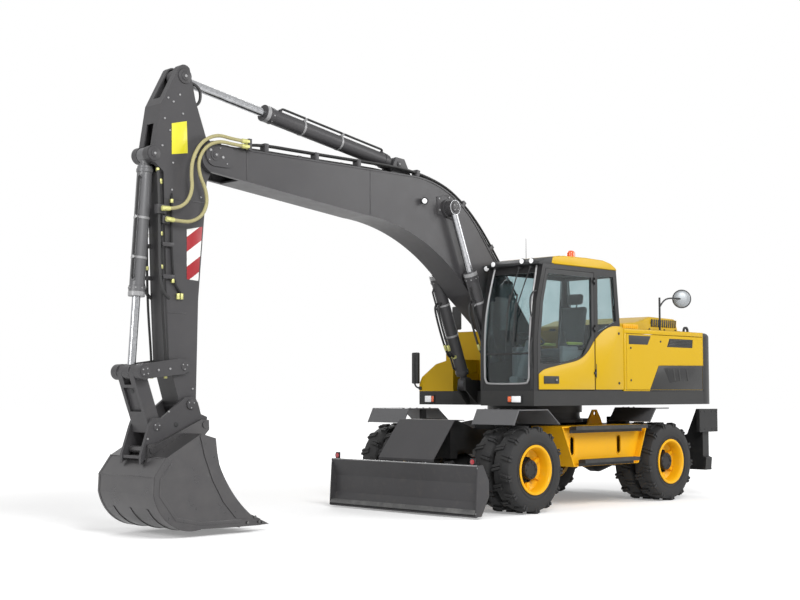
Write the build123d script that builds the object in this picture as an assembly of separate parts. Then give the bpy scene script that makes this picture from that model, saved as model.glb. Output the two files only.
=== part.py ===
from build123d import *
import math
import os

# Wheeled excavator with a one-piece boom, twin tyres, a front blade and rear stabilisers.
# All sizes are millimetres. +X is forward, +Y is the driver's left, +Z is up.
# The model is drawn with the slew axis on x = y = 0 and the ground at z = 0,
# then moved back by ORIGIN_SHIFT so that the middle of its length is at x = 0.
ORIGIN_SHIFT = 1835.0

# Fits and gaps
PIN_FIT = 0.05
SEAT_GAP = 0.3
SIDE_GAP = 6.0

# Wheels and axles
TYRE_RADIUS = 520.0
TYRE_WIDTH = 270.0
TWIN_PITCH = 320.0
WHEEL_FACE = 1265.0
BEAD_RADIUS = 262.0
LUGS = 13
LUG_HEIGHT = 24.0
LUG_WIDTH = 70.0
RIM_WALL = 14.0
FLANGE_RADIUS = 297.0
HUB_RADIUS = 165.0
DISC_TABS = 6
FRONT_AXLE_X = 1510.0
REAR_AXLE_X = -1330.0
KINGPIN_Y = 600.0
KINGPIN_RADIUS = 28.0
SPINDLE_RADIUS = 62.0
AXLE_TUBE_RADIUS = 85.0
AXLE_Z = TYRE_RADIUS
TIE_ROD_X = -215.0
OUTER_TYRE_Y = WHEEL_FACE - TYRE_WIDTH / 2
INNER_TYRE_Y = OUTER_TYRE_Y - TWIN_PITCH
HUB_INNER = 690.0
HUB_BORE_END = 790.0
YOKE_HALF = 60.0
YOKE_TOP = 150.0
YOKE_Y_START = 500.0
KNUCKLE_HALF = 95.0

# Chassis
CHASSIS_HALF_WIDTH = 340.0
CHASSIS_TOP = 1000.0
CHASSIS_NOSE = 2080.0
CHASSIS_TAIL = -2100.0
CHASSIS_ARCH = 740.0
NOSE_TOP = 1100.0
PLATE = 20.0
SLEW_RADIUS = 600.0
SLEW_Z = 1110.0
DECK_Z = 1280.0
SIDE_FRAME_Y = 1130.0
SIDE_FRAME_PLATE = 15.0
SIDE_WEB_Y = 1050.0
FENDER_TOP = 1237.0
FENDER_LOW = 1060.0
FENDER_INNER = 580.0
FENDER_OUTER = 1250.0
FENDER_PLATE = 10.0

# Blade
BLADE_HALF_WIDTH = 1246.0
BLADE_FRONT = 2530.0
BLADE_TOP = 600.0
BLADE_LOW = 30.0
BLADE_PLATE = 18.0
BLADE_PIVOT = (1950.0, 560.0)
BLADE_CYL_BASE = (2080.0, 985.0)
BLADE_CYL_EYE = (2300.0, 430.0)
BLADE_CYL_Y = 120.0

# Stabilisers, seen in the plane across the machine
STAB_PIVOT = (450.0, 560.0)
STAB_CYL_BASE = (250.0, 930.0)
STAB_CYL_EYE = (880.0, 800.0)
STAB_X = -2270.0
STAB_HALF = 75.0
STAB_PIN = 32.0

# Superstructure
HOUSE_HALF_WIDTH = 1250.0
BAND_TOP = 1460.0
BODY_TOP = 2270.0
TAIL_RADIUS = 2760.0
TAIL_START = -2160.0
TAIL_CORNER = 420.0
SHEET = 16.0
CAST_WALL = 75.0
CAST_EDGE = 60.0
HOOD_TOP = 2480.0
HOOD_FRONT = -760.0
HOOD_REAR = -2140.0
HOOD_HALF = 880.0
HOOD_EDGE = 24.0
VENT_SLATS = 5
HOOD_HINGE = (HOOD_REAR + 22, BODY_TOP + 20)
DOOR_PLATE = 30.0
DOOR_HINGE_X = TAIL_START + 48
LID_HINGE = (-641.0, 1864.0)
HINGE_PIN = 8.0

# Cab
CAB_FRONT = 1515.0
CAB_LEFT = 1240.0
CAB_RIGHT = 388.0
CAB_WALL = 35.0
CAB_FLOOR = BAND_TOP + CAB_WALL + 2 * SEAT_GAP
CAB_ROOF_LOW = 3010.0
CAB_ROOF_TOP = 3130.0
CAB_REAR_LOW = -263.0
CAB_REAR_TOP = -160.0
DOOR_REAR = 320.0
CAB_DOOR_HINGE = (310.0, 1255.0)
CAB_HINGE_LEVELS = (1640.0, 2200.0, 2800.0)
GLASS = 8.0

# Boom, arm and bucket in the side view
FOOT_PIN = (200.0, 1900.0)
TIP_PIN = (5480.0, 3940.0)
BOOM_HALF = 192.0
BOOM_PLATE = 18.0
BOOM_CYL_BASE = (1050.0, 1550.0)
BOOM_CYL_EYE = (1920.0, 3720.0)
BOOM_CYL_Y = 295.0
ARM_CYL_BASE = (2650.0, 4200.0)
ARM_CYL_EYE = (5840.0, 4730.0)
ARM_HALF = 145.0
ARM_PLATE = 16.0
BUCKET_CYL_BASE = (6210.0, 3870.0)
ARM_TIP = (5750.0, 1320.0)
ROCKER_PIN = (5830.0, 1710.0)
LINK_PIN = (6350.0, 1650.0)
COUPLER_PIN = (6160.0, 1100.0)
CHEEK_INNER = 151.0
CHEEK_PLATE = 36.0
HOOK_PIN = (5590.0, 1112.0)
LOCK_PIN = (6235.0, 872.0)
HOOK_RADIUS = 38.0
BUCKET_HALF = 500.0
SIDE_CUTTER = 8.0
TEETH = 5
TOOTH_WIDTH = 88.0
TOOTH_PITCH = 215.0
HOSE_RADIUS = 19.0
HOSE_Y = 240.0

# Hydraulic cylinders
CYLINDER_NECK = 42.0
TAIL_MARGIN = 10.0


# Drawing helpers

def poly(points):
    return make_face(Polyline(*points, close=True))


def along_y(face, y_low, y_high):
    """Extrude a face drawn in (x, z) from y_low to y_high."""
    return extrude(Plane.XZ.offset(-y_high) * face, y_high - y_low)


def along_z(face, z_low, z_high):
    """Extrude a face drawn in (x, y) from z_low to z_high."""
    return extrude(Plane.XY.offset(z_low) * face, z_high - z_low)


def along_x(face, x_low, x_high):
    """Extrude a face drawn in (y, z) from x_low to x_high."""
    return extrude(Plane.YZ.offset(x_low) * face, x_high - x_low)


def block(x_low, x_high, y_low, y_high, z_low, z_high):
    middle = ((x_low + x_high) / 2, (y_low + y_high) / 2, (z_low + z_high) / 2)
    return Pos(*middle) * Box(x_high - x_low, y_high - y_low, z_high - z_low)


def pin_y(point, radius, y_low, y_high):
    """A round bar along Y through a point (x, z) of the side view."""
    return Pos(point[0], (y_low + y_high) / 2, point[1]) * Rot(90, 0, 0) * Cylinder(radius, y_high - y_low)


def pin_x(point, radius, x_low, x_high):
    """A round bar along X through a point (y, z) of the end view."""
    return Pos((x_low + x_high) / 2, point[0], point[1]) * Rot(0, 90, 0) * Cylinder(radius, x_high - x_low)


def pin_z(point, radius, z_low, z_high):
    """A round bar along Z through a point (x, y) of the plan."""
    return Pos(point[0], point[1], (z_low + z_high) / 2) * Cylinder(radius, z_high - z_low)


def bar(start, end, radius):
    """A round bar between two points."""
    run = Vector(*end) - Vector(*start)
    rod = Cylinder(radius, run.length, align=(Align.CENTER, Align.CENTER, Align.MIN))
    return Plane(origin=start, z_dir=run) * rod


def other_side(shape):
    return mirror(shape, about=Plane.XZ)


def folded(points, thickness):
    """The outline of a sheet that follows the points, thickened to the right of its run."""
    shifted = []
    for index, point in enumerate(points):
        normals = []
        for first, second in ((index - 1, index), (index, index + 1)):
            if first < 0 or second >= len(points):
                continue
            run_x = points[second][0] - points[first][0]
            run_z = points[second][1] - points[first][1]
            length = math.hypot(run_x, run_z)
            normals.append((run_z / length, -run_x / length))
        sum_x = sum(normal[0] for normal in normals)
        sum_z = sum(normal[1] for normal in normals)
        scale = thickness * len(normals) / (sum_x * sum_x + sum_z * sum_z)
        shifted.append((point[0] + sum_x * scale, point[1] + sum_z * scale))
    return list(points) + shifted[::-1]


def distance(start, end):
    return math.hypot(end[0] - start[0], end[1] - start[1])


# Hydraulic cylinders

def cylinder_pair(plane_at_base, length, gland, retract, barrel_radius, rod_radius, eye_radius, eye_width, pin_radius):
    """A barrel with a bored eye at its base, and a rod that can still retract by the given stroke."""
    wall = 0.16 * barrel_radius
    bore = barrel_radius - wall
    lift = (Align.CENTER, Align.CENTER, Align.MIN)
    dead = eye_radius + CYLINDER_NECK + 20
    eye = Rot(90, 0, 0) * Cylinder(eye_radius, eye_width)
    neck = Cylinder(eye_width / 2 - 4, eye_radius + CYLINDER_NECK + 5, align=lift)
    tube = Pos(0, 0, eye_radius + CYLINDER_NECK)
    tube *= Cylinder(barrel_radius, gland - eye_radius - CYLINDER_NECK, align=lift)
    head = Pos(0, 0, gland - 1.3 * barrel_radius) * Cylinder(barrel_radius * 1.07, 1.3 * barrel_radius, align=lift)
    barrel = eye + neck + tube + head
    barrel -= Rot(90, 0, 0) * Cylinder(pin_radius + PIN_FIT, eye_width + 2)
    barrel -= Pos(0, 0, dead) * Cylinder(bore, gland - dead - 0.6 * barrel_radius, align=lift)
    barrel -= Pos(0, 0, dead) * Cylinder(rod_radius + PIN_FIT, gland - dead + 1, align=lift)
    rod = Pos(0, 0, length) * Rot(90, 0, 0) * Cylinder(eye_radius, eye_width)
    rod_tail = dead + retract + TAIL_MARGIN
    rod += Pos(0, 0, rod_tail) * Cylinder(rod_radius, length - rod_tail, align=lift)
    return plane_at_base * barrel, plane_at_base * rod


def side_cylinder(base, eye, y, gland, retract, barrel_radius, rod_radius, eye_radius, eye_width, pin_radius):
    """A cylinder lying in a side-view plane at y."""
    run = (eye[0] - base[0], 0, eye[1] - base[1])
    frame = Plane(origin=(base[0], y, base[1]), x_dir=Vector(*run).cross(Vector(0, 1, 0)), z_dir=run)
    return cylinder_pair(frame, distance(base, eye), gland, retract, barrel_radius, rod_radius,
                         eye_radius, eye_width, pin_radius)


def cross_cylinder(base, eye, x, gland, retract, barrel_radius, rod_radius, eye_radius, eye_width, pin_radius):
    """A cylinder lying in an end-view plane at x."""
    run = (0, eye[0] - base[0], eye[1] - base[1])
    frame = Plane(origin=(x, base[0], base[1]), x_dir=Vector(*run).cross(Vector(1, 0, 0)), z_dir=run)
    return cylinder_pair(frame, distance(base, eye), gland, retract, barrel_radius, rod_radius,
                         eye_radius, eye_width, pin_radius)


# Wheels

def around_y(radius, sides, y):
    """A regular polygon round the Y axis, with a flat at the radius straight down."""
    turn = 90 + 180 / sides
    ring = RegularPolygon(radius, sides, major_radius=False, rotation=turn)
    return Plane(origin=(0, y, 0), x_dir=(1, 0, 0), z_dir=(0, 1, 0)) * ring


def tyre(y_middle):
    """A facetted tyre with two staggered rows of lugs, one lug on each flat of its drum."""
    half = TYRE_WIDTH / 2
    root = TYRE_RADIUS - LUG_HEIGHT
    waist = (FLANGE_RADIUS + root) / 2
    reach = half - 16
    # radius of the flats, distance from the tyre's middle
    rings = [(FLANGE_RADIUS + 4, 22 - half), (waist, -half), (root - 6, 30 - half),
             (root - 6, half - 30), (waist, half), (FLANGE_RADIUS + 4, half - 22)]
    body = loft([around_y(radius, LUGS, y_middle + y) for radius, y in rings], ruled=True)
    body += extrude(around_y(root, 2 * LUGS, y_middle - reach), 2 * reach)
    lug = Pos(0, reach / 2, LUG_HEIGHT / 2 - TYRE_RADIUS) * Box(LUG_WIDTH, reach, LUG_HEIGHT)
    for index in range(LUGS):
        body += Pos(0, y_middle, 0) * Rot(0, 360 * index / LUGS, 0) * lug
        body += Pos(0, y_middle, 0) * Rot(0, 360 * (index + 0.5) / LUGS, 0) * other_side(lug)
    return body - extrude(around_y(BEAD_RADIUS, LUGS, y_middle - half), TYRE_WIDTH)


def rim():
    barrel_outer = BEAD_RADIUS - SEAT_GAP
    barrel_inner = barrel_outer - RIM_WALL
    outer_flange = OUTER_TYRE_Y + TYRE_WIDTH / 2 - 2
    inner_flange = INNER_TYRE_Y - TYRE_WIDTH / 2 + 2
    disc_y = OUTER_TYRE_Y - 45
    # Rings of the wheel: inner radius, outer radius, first y, last y
    rings = [
        (barrel_inner, barrel_outer, inner_flange, outer_flange),
        (barrel_inner, FLANGE_RADIUS, outer_flange - 14, outer_flange),
        (barrel_inner, FLANGE_RADIUS, inner_flange, inner_flange + 14),
        (HUB_RADIUS - 20, barrel_inner + 5, disc_y - 16, disc_y),
    ]
    shape = None
    for inner, outer, first, last in rings:
        ring = revolve(poly([(inner, first), (outer, first), (outer, last), (inner, last)]), Axis.Y)
        shape = ring if shape is None else shape + ring
    hub = revolve(poly([
        (0, HUB_BORE_END), (SPINDLE_RADIUS + PIN_FIT, HUB_BORE_END), (SPINDLE_RADIUS + PIN_FIT, HUB_INNER),
        (HUB_RADIUS, HUB_INNER), (HUB_RADIUS, disc_y + 10), (HUB_RADIUS - 45, disc_y + 20),
        (HUB_RADIUS - 50, disc_y + 90), (HUB_RADIUS - 70, disc_y + 105), (0, disc_y + 105),
    ]), Axis.Y)
    tab = Pos(HUB_RADIUS + 30, disc_y, 0) * Box(80, 34, 46)
    for index in range(DISC_TABS):
        shape += Rot(0, 360 * index / DISC_TABS, 0) * tab
    return shape + hub


def wheels():
    """Four wheels, each with its twin tyres."""
    # name, axle x, side
    table = [
        ("front_left", FRONT_AXLE_X, 1),
        ("front_right", FRONT_AXLE_X, -1),
        ("rear_left", REAR_AXLE_X, 1),
        ("rear_right", REAR_AXLE_X, -1),
    ]
    left_tyres = [tyre(OUTER_TYRE_Y), tyre(INNER_TYRE_Y)]
    left_rim = rim()
    nodes = {}
    for name, axle_x, side in table:
        place = Pos(axle_x, 0, AXLE_Z)
        tyres = left_tyres if side > 0 else [other_side(one) for one in left_tyres]
        wheel_rim = left_rim if side > 0 else other_side(left_rim)
        nodes["tyres_" + name] = [place * one for one in tyres]
        nodes["rim_" + name] = [place * wheel_rim]
    return nodes


# Axles

def housing(half_width):
    """The final drive housing in the middle of an axle."""
    profile = poly([(0, -half_width), (110, -half_width), (185, -60), (185, 60), (110, half_width), (0, half_width)])
    return revolve(profile, Axis.Y)


def front_axle():
    beam = housing(230) + pin_y((0, 0), AXLE_TUBE_RADIUS, -YOKE_Y_START, YOKE_Y_START)
    for side in (1, -1):
        web = block(-YOKE_HALF, YOKE_HALF, YOKE_Y_START - 30, YOKE_Y_START + 20, -YOKE_TOP, YOKE_TOP)
        arms = block(-YOKE_HALF, YOKE_HALF, YOKE_Y_START, KINGPIN_Y, KNUCKLE_HALF + SEAT_GAP, YOKE_TOP)
        arms += pin_z((0, KINGPIN_Y), YOKE_HALF, KNUCKLE_HALF + SEAT_GAP, YOKE_TOP)
        arms += mirror(arms, about=Plane.XY)
        end = web + arms - pin_z((0, KINGPIN_Y), KINGPIN_RADIUS + PIN_FIT, -YOKE_TOP - 5, YOKE_TOP + 5)
        beam += end if side > 0 else other_side(end)
    trunnion = block(-150, 150, -110, 110, 150, CHASSIS_ARCH - AXLE_Z - SEAT_GAP)
    return [Pos(FRONT_AXLE_X, 0, AXLE_Z) * (beam + trunnion)]


def knuckle():
    body = pin_z((0, KINGPIN_Y), YOKE_HALF - 5, -KNUCKLE_HALF, KNUCKLE_HALF)
    body += pin_z((0, KINGPIN_Y), KINGPIN_RADIUS, -YOKE_TOP, YOKE_TOP)
    body += pin_y((0, 0), SPINDLE_RADIUS, KINGPIN_Y, HUB_BORE_END - SEAT_GAP)
    arm = block(TIE_ROD_X, 0, KINGPIN_Y - 18, KINGPIN_Y + 18, -KNUCKLE_HALF, -KNUCKLE_HALF + 40)
    arm += pin_z((TIE_ROD_X, KINGPIN_Y), 32, -KNUCKLE_HALF, -KNUCKLE_HALF + 40)
    arm += pin_z((TIE_ROD_X, KINGPIN_Y), 14, -KNUCKLE_HALF - 60, -KNUCKLE_HALF)
    return body + arm


def tie_rod():
    z = -KNUCKLE_HALF - 38
    shape = bar((TIE_ROD_X, -KINGPIN_Y + 20, z), (TIE_ROD_X, KINGPIN_Y - 20, z), 20)
    for side in (1, -1):
        end = pin_z((TIE_ROD_X, side * KINGPIN_Y), 34, z - 30, z + 30)
        shape += end
        shape -= pin_z((TIE_ROD_X, side * KINGPIN_Y), 14 + PIN_FIT, z - 40, z + 40)
    return shape


def rear_axle():
    beam = housing(250) + pin_y((0, 0), AXLE_TUBE_RADIUS + 10, -640, 640)
    for side in (1, -1):
        end = pin_y((0, 0), 140, 640, HUB_INNER - SEAT_GAP)
        end += pin_y((0, 0), SPINDLE_RADIUS, 600, HUB_BORE_END - SEAT_GAP)
        beam += end if side > 0 else other_side(end)
    pads = block(-110, 110, 250, 330, 60, CHASSIS_ARCH - AXLE_Z - SEAT_GAP)
    pads += other_side(pads)
    return [Pos(REAR_AXLE_X, 0, AXLE_Z) * (beam + pads)]


# Chassis

def chassis_frame():
    outline = [
        (CHASSIS_TAIL, 520), (-1790, 520), (-1690, CHASSIS_ARCH), (-960, CHASSIS_ARCH), (-860, 600),
        (900, 600), (1120, CHASSIS_ARCH), (1880, CHASSIS_ARCH), (1900, 640), (CHASSIS_NOSE - 60, 640),
        (CHASSIS_NOSE - 60, NOSE_TOP), (1880, NOSE_TOP), (1600, CHASSIS_TOP), (800, SLEW_Z - 20),
        (-800, SLEW_Z - 20), (-1000, CHASSIS_TOP), (CHASSIS_TAIL, CHASSIS_TOP),
    ]
    face = poly(outline)
    body = along_y(face, -CHASSIS_HALF_WIDTH, CHASSIS_HALF_WIDTH)
    body -= along_y(offset(face, -PLATE), -CHASSIS_HALF_WIDTH + PLATE, CHASSIS_HALF_WIDTH - PLATE)
    pedestal = pin_z((0, 0), SLEW_RADIUS + 40, SLEW_Z - 60, SLEW_Z - 20)
    pedestal += pin_z((0, 0), SLEW_RADIUS, SLEW_Z - 20, SLEW_Z + 70)
    pedestal -= pin_z((0, 0), SLEW_RADIUS - 90, SLEW_Z - 80, SLEW_Z + 75)
    body += pedestal
    for x in (450, -450):
        gusset = block(x - 10, x + 10, -SLEW_RADIUS, SLEW_RADIUS, 900, SLEW_Z - 60)
        body += gusset
    body += blade_ears() + stabiliser_cheeks() + side_beams()
    return [body]


def blade_ears():
    """Ears on the nose that carry the blade's arms and its two cylinders."""
    ears = None
    x, z = BLADE_PIVOT
    for side in (1, -1):
        low = along_y(poly([(x - 60, 660), (x - 45, z - 45), (x + 45, z - 45), (x + 60, 660)]), 205, 235)
        low += pin_y(BLADE_PIVOT, 30, 205, 320)
        cx, cz = BLADE_CYL_BASE
        for near in (BLADE_CYL_Y - 45, BLADE_CYL_Y + 31):
            low += along_y(poly([(CHASSIS_NOSE - 70, cz + 60), (cx + 20, cz + 40), (cx + 40, cz), (cx + 20, cz - 40),
                                 (CHASSIS_NOSE - 70, cz - 80)]), near, near + 14)
        low += pin_y(BLADE_CYL_BASE, 22, BLADE_CYL_Y - 45, BLADE_CYL_Y + 45)
        shape = low if side > 0 else other_side(low)
        ears = shape if ears is None else ears + shape
    return ears


def stabiliser_cheeks():
    """Two cross plates at the tail that carry the stabiliser legs and their cylinders."""
    outline = poly([(-525, 480), (525, 480), (525, 640), (330, 1000), (-330, 1000), (-525, 640)])
    near = STAB_X + STAB_HALF + SIDE_GAP
    far = STAB_X - STAB_HALF - SIDE_GAP
    plates = along_x(outline, near, near + PLATE) + along_x(outline, far - PLATE, far)
    joint = block(near, CHASSIS_TAIL + 10, -CHASSIS_HALF_WIDTH, CHASSIS_HALF_WIDTH, 520, 560)
    joint += block(near, CHASSIS_TAIL + 10, -CHASSIS_HALF_WIDTH, CHASSIS_HALF_WIDTH, 960, CHASSIS_TOP)
    plates += joint
    for side in (1, -1):
        pins = pin_x(STAB_PIVOT, STAB_PIN, far - PLATE, near + PLATE)
        pins += pin_x(STAB_CYL_BASE, STAB_PIN - 8, far - PLATE, near + PLATE)
        plates += pins if side > 0 else other_side(pins)
    return plates


def side_beams():
    """Beams that carry the side frames, and arms with posts that carry the fenders."""
    beams = None
    inner = CHASSIS_HALF_WIDTH - PLATE
    fender_seat = FENDER_TOP - FENDER_PLATE - SEAT_GAP
    # first x, last x, inner y, outer y, low z, high z
    table = [
        (220, 340, inner, SIDE_WEB_Y - SEAT_GAP, 800, 900),
        (-240, -120, inner, SIDE_WEB_Y - SEAT_GAP, 800, 900),
        (1470, 1550, inner, 640, 990, 1110),
        (1470, 1550, 595, 640, 1100, fender_seat),
        (-1260, -1170, inner, 640, 960, 1110),
        (-1260, -1170, 595, 640, 1100, fender_seat),
    ]
    for x_low, x_high, y_inner, y_outer, z_low, z_high in table:
        beam = block(x_low, x_high, y_inner, y_outer, z_low, z_high)
        both = beam + other_side(beam)
        beams = both if beams is None else beams + both
    return beams


def side_frame():
    outline = poly([(845, 1020), (612, 516), (-760, 516), (-960, 1020)])
    inner = offset(outline, -SIDE_FRAME_PLATE)
    shell = along_y(outline, 640, SIDE_FRAME_Y) - along_y(inner, 639, SIDE_FRAME_Y + 1)
    web = along_y(inner, SIDE_WEB_Y, SIDE_WEB_Y + 12)
    for x in (560, -420):
        slot = SlotCenterToCenter(150, 80)
        web -= along_y(Pos(x, 770) * Rot(0, 0, 90) * slot, 1040, 1070)
    return shell + web


def lashing_eye():
    plate = along_y(poly([(-290, 1020), (-330, 1105), (-410, 1215), (-490, 1215), (-570, 1105), (-610, 1020)]), 640, 665)
    return plate - pin_y((-450, 1165), 28, 630, 675)


def steps():
    shapes = []
    # first x, last x, low z, high z
    for x_low, x_high, z_low, z_high in ((-830, 700, 975, 1015), (-640, 520, 560, 600)):
        tread = block(x_low, x_high, SIDE_FRAME_Y + SEAT_GAP, SIDE_FRAME_Y + 110, z_low, z_high)
        tread += block(x_low, x_high, SIDE_FRAME_Y + SEAT_GAP, SIDE_FRAME_Y + 12, z_low - 40, z_low + 10)
        shapes += [tread, other_side(tread)]
    return shapes


def fenders():
    front = [(1034, FENDER_LOW), (1263, FENDER_TOP), (1804, FENDER_TOP), (1897, FENDER_LOW)]
    rear = [(-1310, FENDER_TOP), (-1007, FENDER_TOP), (-865, FENDER_LOW)]
    shapes = []
    for points in (front, rear):
        sheet = along_y(poly(folded(points, FENDER_PLATE)), FENDER_INNER, FENDER_OUTER)
        shapes += [sheet, other_side(sheet)]
    return shapes


def linkage_cover():
    top = NOSE_TOP + SEAT_GAP + 10
    run = [(1900, top), (2080, top), (2450, 650), (2448, 615)]
    return [along_y(poly(folded(run, 10)), -467, 467)]


def drive_line():
    box = block(-250, 200, -150, 150, 420, 600 - SEAT_GAP)
    front = bar((200, 0, 510), (FRONT_AXLE_X - 190, 0, 520), 45)
    rear = bar((-250, 0, 510), (REAR_AXLE_X + 190, 0, 520), 45)
    return [box + front + rear]


# Blade

def blade():
    front = [(BLADE_FRONT + 30, BLADE_LOW), (BLADE_FRONT - 65, 190), (BLADE_FRONT - 65, 400), (BLADE_FRONT, BLADE_TOP)]
    face = poly(folded(front, -BLADE_PLATE))
    shape = along_y(face, -BLADE_HALF_WIDTH, BLADE_HALF_WIDTH)
    cheek = poly([(BLADE_FRONT + 32, BLADE_LOW), (BLADE_FRONT, BLADE_TOP + 12), (BLADE_FRONT - 90, BLADE_TOP + 12),
                  (BLADE_FRONT - 190, 430), (BLADE_FRONT - 190, 250), (BLADE_FRONT - 60, BLADE_LOW)])
    end = along_y(cheek, BLADE_HALF_WIDTH - 15, BLADE_HALF_WIDTH)
    tube = block(2380, BLADE_FRONT - 65 - BLADE_PLATE + 5, -BLADE_HALF_WIDTH + 20, BLADE_HALF_WIDTH - 20, 200, 330)
    x, z = BLADE_PIVOT
    arm_outline = poly([(x - 55, z), (x, z + 55), (x + 60, z + 40), (2400, 330), (2400, 205), (2250, 215), (x, z - 55)])
    arm = along_y(arm_outline, 241, 320)
    arm -= pin_y(BLADE_PIVOT, 30 + PIN_FIT, 230, 330)
    shape += end + other_side(end) + tube + arm + other_side(arm)
    ex, ez = BLADE_CYL_EYE
    for side in (1, -1):
        for near in (BLADE_CYL_Y - 44, BLADE_CYL_Y + 32):
            ear = along_y(poly([(2385, 210), (2385, 325), (ex + 25, ez + 32), (ex - 25, ez + 32), (ex - 35, ez - 20),
                                (2330, 210)]), near, near + 12)
            shape += ear if side > 0 else other_side(ear)
    return [shape]


# Stabilisers

def stabiliser():
    y, z = STAB_PIVOT
    outline = poly([(y - 75, z), (y - 10, z - 75), (1000, 370), (1240, 370), (1255, 540), (1205, 560),
                    (1205, 1213), (1103, 1213), (951, 863), (y, z + 80)])
    leg = along_x(outline, STAB_X - STAB_HALF, STAB_X + STAB_HALF)
    leg -= along_x(offset(outline, -14), STAB_X - STAB_HALF + 14, STAB_X + STAB_HALF - 14)
    pad = block(-2500, -2042, 1205, 1255, 895, 1213)
    leg += pad
    leg -= block(STAB_X - 57, STAB_X + 57, 400, 985, 622, 1000)
    leg += pin_x(STAB_PIVOT, 60, STAB_X - STAB_HALF, STAB_X + STAB_HALF)
    for start, end in ((STAB_X - STAB_HALF - 3, STAB_X - 58), (STAB_X + 58, STAB_X + STAB_HALF + 3)):
        leg += pin_x(STAB_CYL_EYE, 26, start, end)
    leg -= pin_x(STAB_PIVOT, STAB_PIN + PIN_FIT, STAB_X - STAB_HALF - 5, STAB_X + STAB_HALF + 5)
    return leg


# Superstructure

def house_plan():
    """The plan of the revolving deck, with its round tail."""
    corner = math.sqrt(TAIL_RADIUS ** 2 - HOUSE_HALF_WIDTH ** 2)
    outline = make_face([
        Line((CAB_FRONT, HOUSE_HALF_WIDTH - 10), (CAB_FRONT, CAB_RIGHT)),
        Line((CAB_FRONT, CAB_RIGHT), (900, CAB_RIGHT)),
        Line((900, CAB_RIGHT), (900, -395)),
        Line((900, -395), (930, -630)),
        Line((930, -630), (930, -HOUSE_HALF_WIDTH)),
        Line((930, -HOUSE_HALF_WIDTH), (-corner, -HOUSE_HALF_WIDTH)),
        ThreePointArc((-corner, -HOUSE_HALF_WIDTH), (-TAIL_RADIUS, 0), (-corner, HOUSE_HALF_WIDTH)),
        Line((-corner, HOUSE_HALF_WIDTH), (CAB_FRONT, HOUSE_HALF_WIDTH - 10)),
    ])
    return fillet(outline.vertices().sort_by(Axis.X)[:2], TAIL_CORNER)


def upper_frame():
    plan = house_plan()
    reach = 2 * HOUSE_HALF_WIDTH
    body_only = along_z(plan, DECK_Z, BAND_TOP) & block(TAIL_START, 2 * CAB_FRONT, -reach, reach, 0, reach)
    body_only -= block(TAIL_START + 40, 700, -HOUSE_HALF_WIDTH + 40, HOUSE_HALF_WIDTH - 40, DECK_Z + 40, BAND_TOP + 1)
    ring = pin_z((0, 0), SLEW_RADIUS + 30, SLEW_Z + 70 + SEAT_GAP, DECK_Z)
    ring -= pin_z((0, 0), SLEW_RADIUS - 60, SLEW_Z + 70, DECK_Z + 1)
    frame = body_only + ring
    x, z = FOOT_PIN
    ear = poly([(-280, DECK_Z), (-280, 1650), (x - 130, z + 60), (x - 60, z + 130), (x + 60, z + 130),
                (x + 130, z + 60), (800, 1600), (1130, 1610), (1130, 1480), (880, DECK_Z)])
    for side in (1, -1):
        cheek = along_y(ear, 220, 240)
        boss = pin_y(FOOT_PIN, 110, 220, 240)
        boss += pin_y(FOOT_PIN, 55, 190, 245)
        outer = along_y(poly([(880, DECK_Z), (1000, 1620), (1110, 1620), (1130, 1480), (960, DECK_Z)]), 350, 368)
        cyl_pin = pin_y(BOOM_CYL_BASE, 40, 220, 368)
        part = cheek + boss + outer + cyl_pin
        frame += part if side > 0 else other_side(part)
    return [frame]


def counterweight():
    plan = house_plan()
    reach = 2 * TAIL_RADIUS
    solid = along_z(plan, DECK_Z, BODY_TOP)
    solid = fillet(solid.edges().filter_by_position(Axis.Z, BODY_TOP, BODY_TOP).sort_by(Axis.X)[:3], CAST_EDGE)
    tail = solid & block(-reach, TAIL_START - SEAT_GAP, -reach, reach, 0, reach)
    core = along_z(offset(plan, -CAST_WALL), DECK_Z + CAST_WALL, BODY_TOP - CAST_WALL)
    tail -= core & block(-reach, TAIL_START - CAST_WALL, -reach, reach, 0, reach)
    return [tail]


def body_panels():
    """The fixed covers between the cab and the counterweight: a rim round the service doors, and the top."""
    front = -300.0
    back = TAIL_START
    shell = block(back, front, -HOUSE_HALF_WIDTH, HOUSE_HALF_WIDTH, BAND_TOP + SEAT_GAP, BODY_TOP)
    shell -= block(back - 1, front - SHEET, -HOUSE_HALF_WIDTH + SHEET, HOUSE_HALF_WIDTH - SHEET, BAND_TOP, BODY_TOP - SHEET)
    for side in (1, -1):
        face = side * HOUSE_HALF_WIDTH
        door = block(back + 14, front - 40, face - 50, face + 50, BAND_TOP + 10, BODY_TOP - 60)
        shell -= door
    shell -= block(HOOD_REAR + 10, HOOD_FRONT - 10, -HOOD_HALF + 14, HOOD_HALF - 14, BODY_TOP - 100, BODY_TOP + 10)
    shell -= block(HOOD_REAR - 8, HOOD_REAR + 45, -HOOD_HALF - 6, HOOD_HALF + 6, BODY_TOP - 100, BODY_TOP + 10)
    hinge_x, hinge_z = HOOD_HINGE
    ear = block(hinge_x - 16, hinge_x + 40, HOOD_HALF + SIDE_GAP, HOOD_HALF + 22, BODY_TOP - 8, hinge_z + 14)
    ear += pin_y(HOOD_HINGE, HINGE_PIN, HOOD_HALF - 14, HOOD_HALF + 20)
    door_pin = (DOOR_HINGE_X, HOUSE_HALF_WIDTH - DOOR_PLATE / 2)
    ear += pin_z(door_pin, HINGE_PIN, BAND_TOP + 4, BAND_TOP + 38) + pin_z(door_pin, HINGE_PIN, BODY_TOP - 88, BODY_TOP - 50)
    return [shell + ear + other_side(ear)]


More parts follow.
